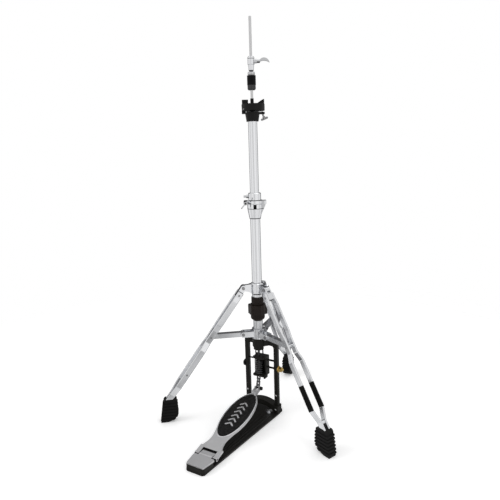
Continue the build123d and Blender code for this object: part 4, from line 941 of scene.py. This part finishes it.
class HIHAT_OT_labels(bpy.types.Operator):
    """Wrap the plain black labels round the bars of the right leg"""
    bl_idname = "hihat.labels"
    bl_label = "Leg labels"

    def execute(self, context):
        size = sizes()
        place = leg_frame("right")
        start, end = size.label_from, size.label_to
        made = bmesh.new()
        for side in (1, -1):
            middle = side * (size.bar_outer - 3 * MM)
            half_t, half_n, round_r = 3.25 * MM, 9.25 * MM, 2.3 * MM
            outline = []
            for corner in range(4):
                centre_t = (half_t - round_r) * (1 if corner in (0, 3) else -1)
                centre_n = (half_n - round_r) * (1 if corner < 2 else -1)
                for part in range(5):
                    angle = math.pi / 2 * (corner + part / 4)
                    outline.append((centre_t + round_r * math.cos(angle),
                                    centre_n + round_r * math.sin(angle)))
            rings = []
            stations = ((start, 0.97), (start + 0.3 * MM, 1.0), (end - 0.3 * MM, 1.0), (end, 0.97))
            for along, grow_by in stations:
                rings.append([made.verts.new((along, middle + x * grow_by, y * grow_by))
                              for x, y in outline])
            number = len(outline)
            for one, two in zip(rings, rings[1:]):
                for part in range(number):
                    nxt = (part + 1) % number
                    made.faces.new((one[part], two[part], two[nxt], one[nxt]))
            made.faces.new(rings[0])
            made.faces.new(rings[-1])
        bmesh.ops.recalc_face_normals(made, faces=made.faces)
        mesh = bpy.data.meshes.new("leg_labels")
        made.to_mesh(mesh)
        made.free()
        mesh.transform(place)
        link_piece("leg_labels", mesh, "leg_right", "label_film")
        return {"FINISHED"}


class HIHAT_OT_stage(bpy.types.Operator):
    """Set the pale floor, the soft lights and the camera"""
    bl_idname = "hihat.stage"
    bl_label = "Stage"

    def execute(self, context):
        shot = stage()
        self.make_floor()
        self.make_surround(shot.sky)
        middle = Vector((0, -0.05, 0.5))
        self.make_light("key_light", (-1.9, -1.7, 2.3), middle, 1.6, 1.6, shot.key)
        self.make_light("fill_light", (2.3, -0.9, 1.5), middle, 0.7, 1.8, shot.fill)
        self.make_light("top_light", (0.2, 0.6, 3.0), middle, 2.2, 2.2, shot.fill)
        self.make_camera(shot)
        context.scene.view_settings.view_transform = "Standard"
        return {"FINISHED"}

    def make_floor(self):
        made = bmesh.new()
        bmesh.ops.create_circle(made, cap_ends=True, radius=2.6, segments=96)
        mesh = bpy.data.meshes.new("studio_floor")
        made.to_mesh(mesh)
        made.free()
        floor = bpy.data.objects.new("studio_floor", mesh)
        floor.location.z = -0.0005
        bpy.context.scene.collection.objects.link(floor)
        mesh.materials.append(self.make_paper())

    def make_paper(self):
        """Floor paper that fades into the surround, and looks greyer where chrome mirrors it."""
        made = make_finish("studio_paper", colours().floor, 0.0, 0.9, grain=60.0, bump=0.01, drift=0.004,
                           specular=0.1)
        tree = made.node_tree
        paper = tree.nodes["Principled BSDF"]
        place = add_node(tree, "ShaderNodeTexCoord").outputs["Object"]
        reach = vector_node(tree, "LENGTH", place)
        fade = add_node(tree, "ShaderNodeMapRange", {"Value": reach.outputs["Value"], "From Min": 0.75,
                                                     "From Max": 1.6}, interpolation_type="SMOOTHSTEP")
        mirrored = add_node(tree, "ShaderNodeLightPath").outputs["Is Glossy Ray"]
        patches = add_node(tree, "ShaderNodeTexNoise", {"Vector": place, "Scale": 2.6, "Detail": 1.0})
        tone = add_node(tree, "ShaderNodeMapRange", {"Value": patches.outputs["Fac"], "From Min": 0.35,
                                                     "From Max": 0.62, "To Min": 0.22, "To Max": 0.88})
        grey = add_node(tree, "ShaderNodeEmission", {"Strength": tone.outputs["Result"]})
        direct = add_node(tree, "ShaderNodeLightPath").outputs["Is Camera Ray"]
        lift = math_node(tree, "MULTIPLY", direct, 0.26)
        paper.inputs["Emission Color"].default_value = (1.0, 1.0, 1.0, 1.0)
        tree.links.new(lift.outputs[0], paper.inputs["Emission Strength"])
        seen = add_node(tree, "ShaderNodeMixShader", {0: mirrored, 1: paper.outputs[0], 2: grey.outputs[0]})
        clear = add_node(tree, "ShaderNodeBsdfTransparent")
        faded = add_node(tree, "ShaderNodeMixShader", {0: fade.outputs["Result"], 1: seen.outputs[0],
                                                       2: clear.outputs[0]})
        end = tree.nodes["Material Output"]
        tree.links.new(faded.outputs[0], end.inputs["Surface"])
        return made

    def make_surround(self, strength):
        """A pale studio with darker bands of wall, which the chrome picks up."""
        world = bpy.data.worlds.new("studio")
        bpy.context.scene.world = world
        world.use_nodes = True
        tree = world.node_tree
        back = tree.nodes["Background"]
        way = add_node(tree, "ShaderNodeTexCoord").outputs["Generated"]
        split = add_node(tree, "ShaderNodeSeparateXYZ", {"Vector": way})
        angle = math_node(tree, "ARCTAN2", split.outputs["Y"], split.outputs["X"])
        turns = add_node(tree, "ShaderNodeMapRange", {"Value": angle.outputs[0], "From Min": -math.pi,
                                                      "From Max": math.pi})
        bands = add_node(tree, "ShaderNodeValToRGB", {"Fac": turns.outputs["Result"]})
        bands.color_ramp.interpolation = "EASE"
        stops = ((0.0, 1.0), (0.06, 1.0), (0.13, 0.74), (0.22, 0.97), (0.30, 0.82), (0.335, 0.60),
                 (0.365, 0.95), (0.46, 1.0), (0.56, 0.76), (0.64, 1.0), (0.69, 0.92), (0.73, 0.20),
                 (0.93, 0.20), (0.97, 0.90))
        ramp = bands.color_ramp.elements
        while len(ramp) < len(stops):
            ramp.new(0.5)
        for element, (spot, tone) in zip(ramp, stops):
            element.position = spot
            element.color = (tone * 0.955, tone * 0.95, tone * 0.945, 1.0)
        path = add_node(tree, "ShaderNodeLightPath")
        mirrored = mix_colour(tree, path.outputs["Is Glossy Ray"], (strength, strength, strength),
                              bands.outputs["Color"])
        seen = mix_colour(tree, path.outputs["Is Camera Ray"], mirrored, (1.0, 1.0, 1.0))
        tree.links.new(seen, back.inputs["Color"])

    def make_light(self, name, spot, target, wide, tall, power):
        light = bpy.data.lights.new(name, "AREA")
        light.shape = "RECTANGLE"
        light.size, light.size_y = wide, tall
        light.energy = power
        lamp = bpy.data.objects.new(name, light)
        lamp.location = spot
        lamp.rotation_euler = (target - Vector(spot)).to_track_quat("-Z", "Y").to_euler()
        lamp.visible_glossy = name == "top_light"
        bpy.context.scene.collection.objects.link(lamp)

    def make_camera(self, shot):
        side = Vector((math.cos(shot.azimuth), math.sin(shot.azimuth), 0))
        ahead = Vector((-math.sin(shot.azimuth), math.cos(shot.azimuth), 0))
        level = ahead * math.cos(shot.yaw) + side * math.sin(shot.yaw)
        right = side * math.cos(shot.yaw) - ahead * math.sin(shot.yaw)
        up = level * math.sin(shot.pitch) + Vector((0, 0, math.cos(shot.pitch)))
        rolled_right = right * math.cos(shot.roll) + up * math.sin(shot.roll)
        rolled_up = up * math.cos(shot.roll) - right * math.sin(shot.roll)
        axes = Matrix((rolled_right, rolled_up, rolled_right.cross(rolled_up))).transposed()
        data = bpy.data.cameras.new("studio_camera")
        data.lens = shot.lens
        data.sensor_width = 36.0
        data.clip_start, data.clip_end = 0.02, 60.0
        camera = bpy.data.objects.new("studio_camera", data)
        spot = Vector((0, 0, shot.height)) - ahead * shot.distance
        camera.matrix_world = Matrix.Translation(spot) @ axes.to_4x4()
        bpy.context.scene.collection.objects.link(camera)
        bpy.context.scene.camera = camera


OPERATORS = (HIHAT_OT_finishes, HIHAT_OT_leg_rivets, HIHAT_OT_frame_rivets, HIHAT_OT_tread, HIHAT_OT_knurls,
             HIHAT_OT_threads, HIHAT_OT_spring, HIHAT_OT_base_ribs, HIHAT_OT_labels, HIHAT_OT_stage)


class HIHAT_PT_sidebar(bpy.types.Panel):
    """Lists the stand's sizes, colours and building steps"""
    bl_idname = "HIHAT_PT_sidebar"
    bl_label = "Hi hat stand"
    bl_space_type = "VIEW_3D"
    bl_region_type = "UI"
    bl_category = "Hi hat"

    def draw(self, context):
        for operator in OPERATORS:
            self.layout.operator(operator.bl_idname)
        for group in (sizes(), colours(), stage()):
            box = self.layout.box()
            for name in group.__annotations__:
                box.prop(group, name)


CLASSES = (HiHatSizes, HiHatColours, HiHatStage, *OPERATORS, HIHAT_PT_sidebar)


def register():
    for item in CLASSES:
        bpy.utils.register_class(item)
    bpy.types.Scene.hi_hat_sizes = PointerProperty(type=HiHatSizes)
    bpy.types.Scene.hi_hat_colours = PointerProperty(type=HiHatColours)
    bpy.types.Scene.hi_hat_stage = PointerProperty(type=HiHatStage)


def unregister():
    del bpy.types.Scene.hi_hat_sizes
    del bpy.types.Scene.hi_hat_colours
    del bpy.types.Scene.hi_hat_stage
    for item in reversed(CLASSES):
        bpy.utils.unregister_class(item)


def main():
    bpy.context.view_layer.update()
    register()
    for operator in OPERATORS:
        group, name = operator.bl_idname.split(".")
        getattr(getattr(bpy.ops, group), name)()


if __name__ == "__main__":
    main()
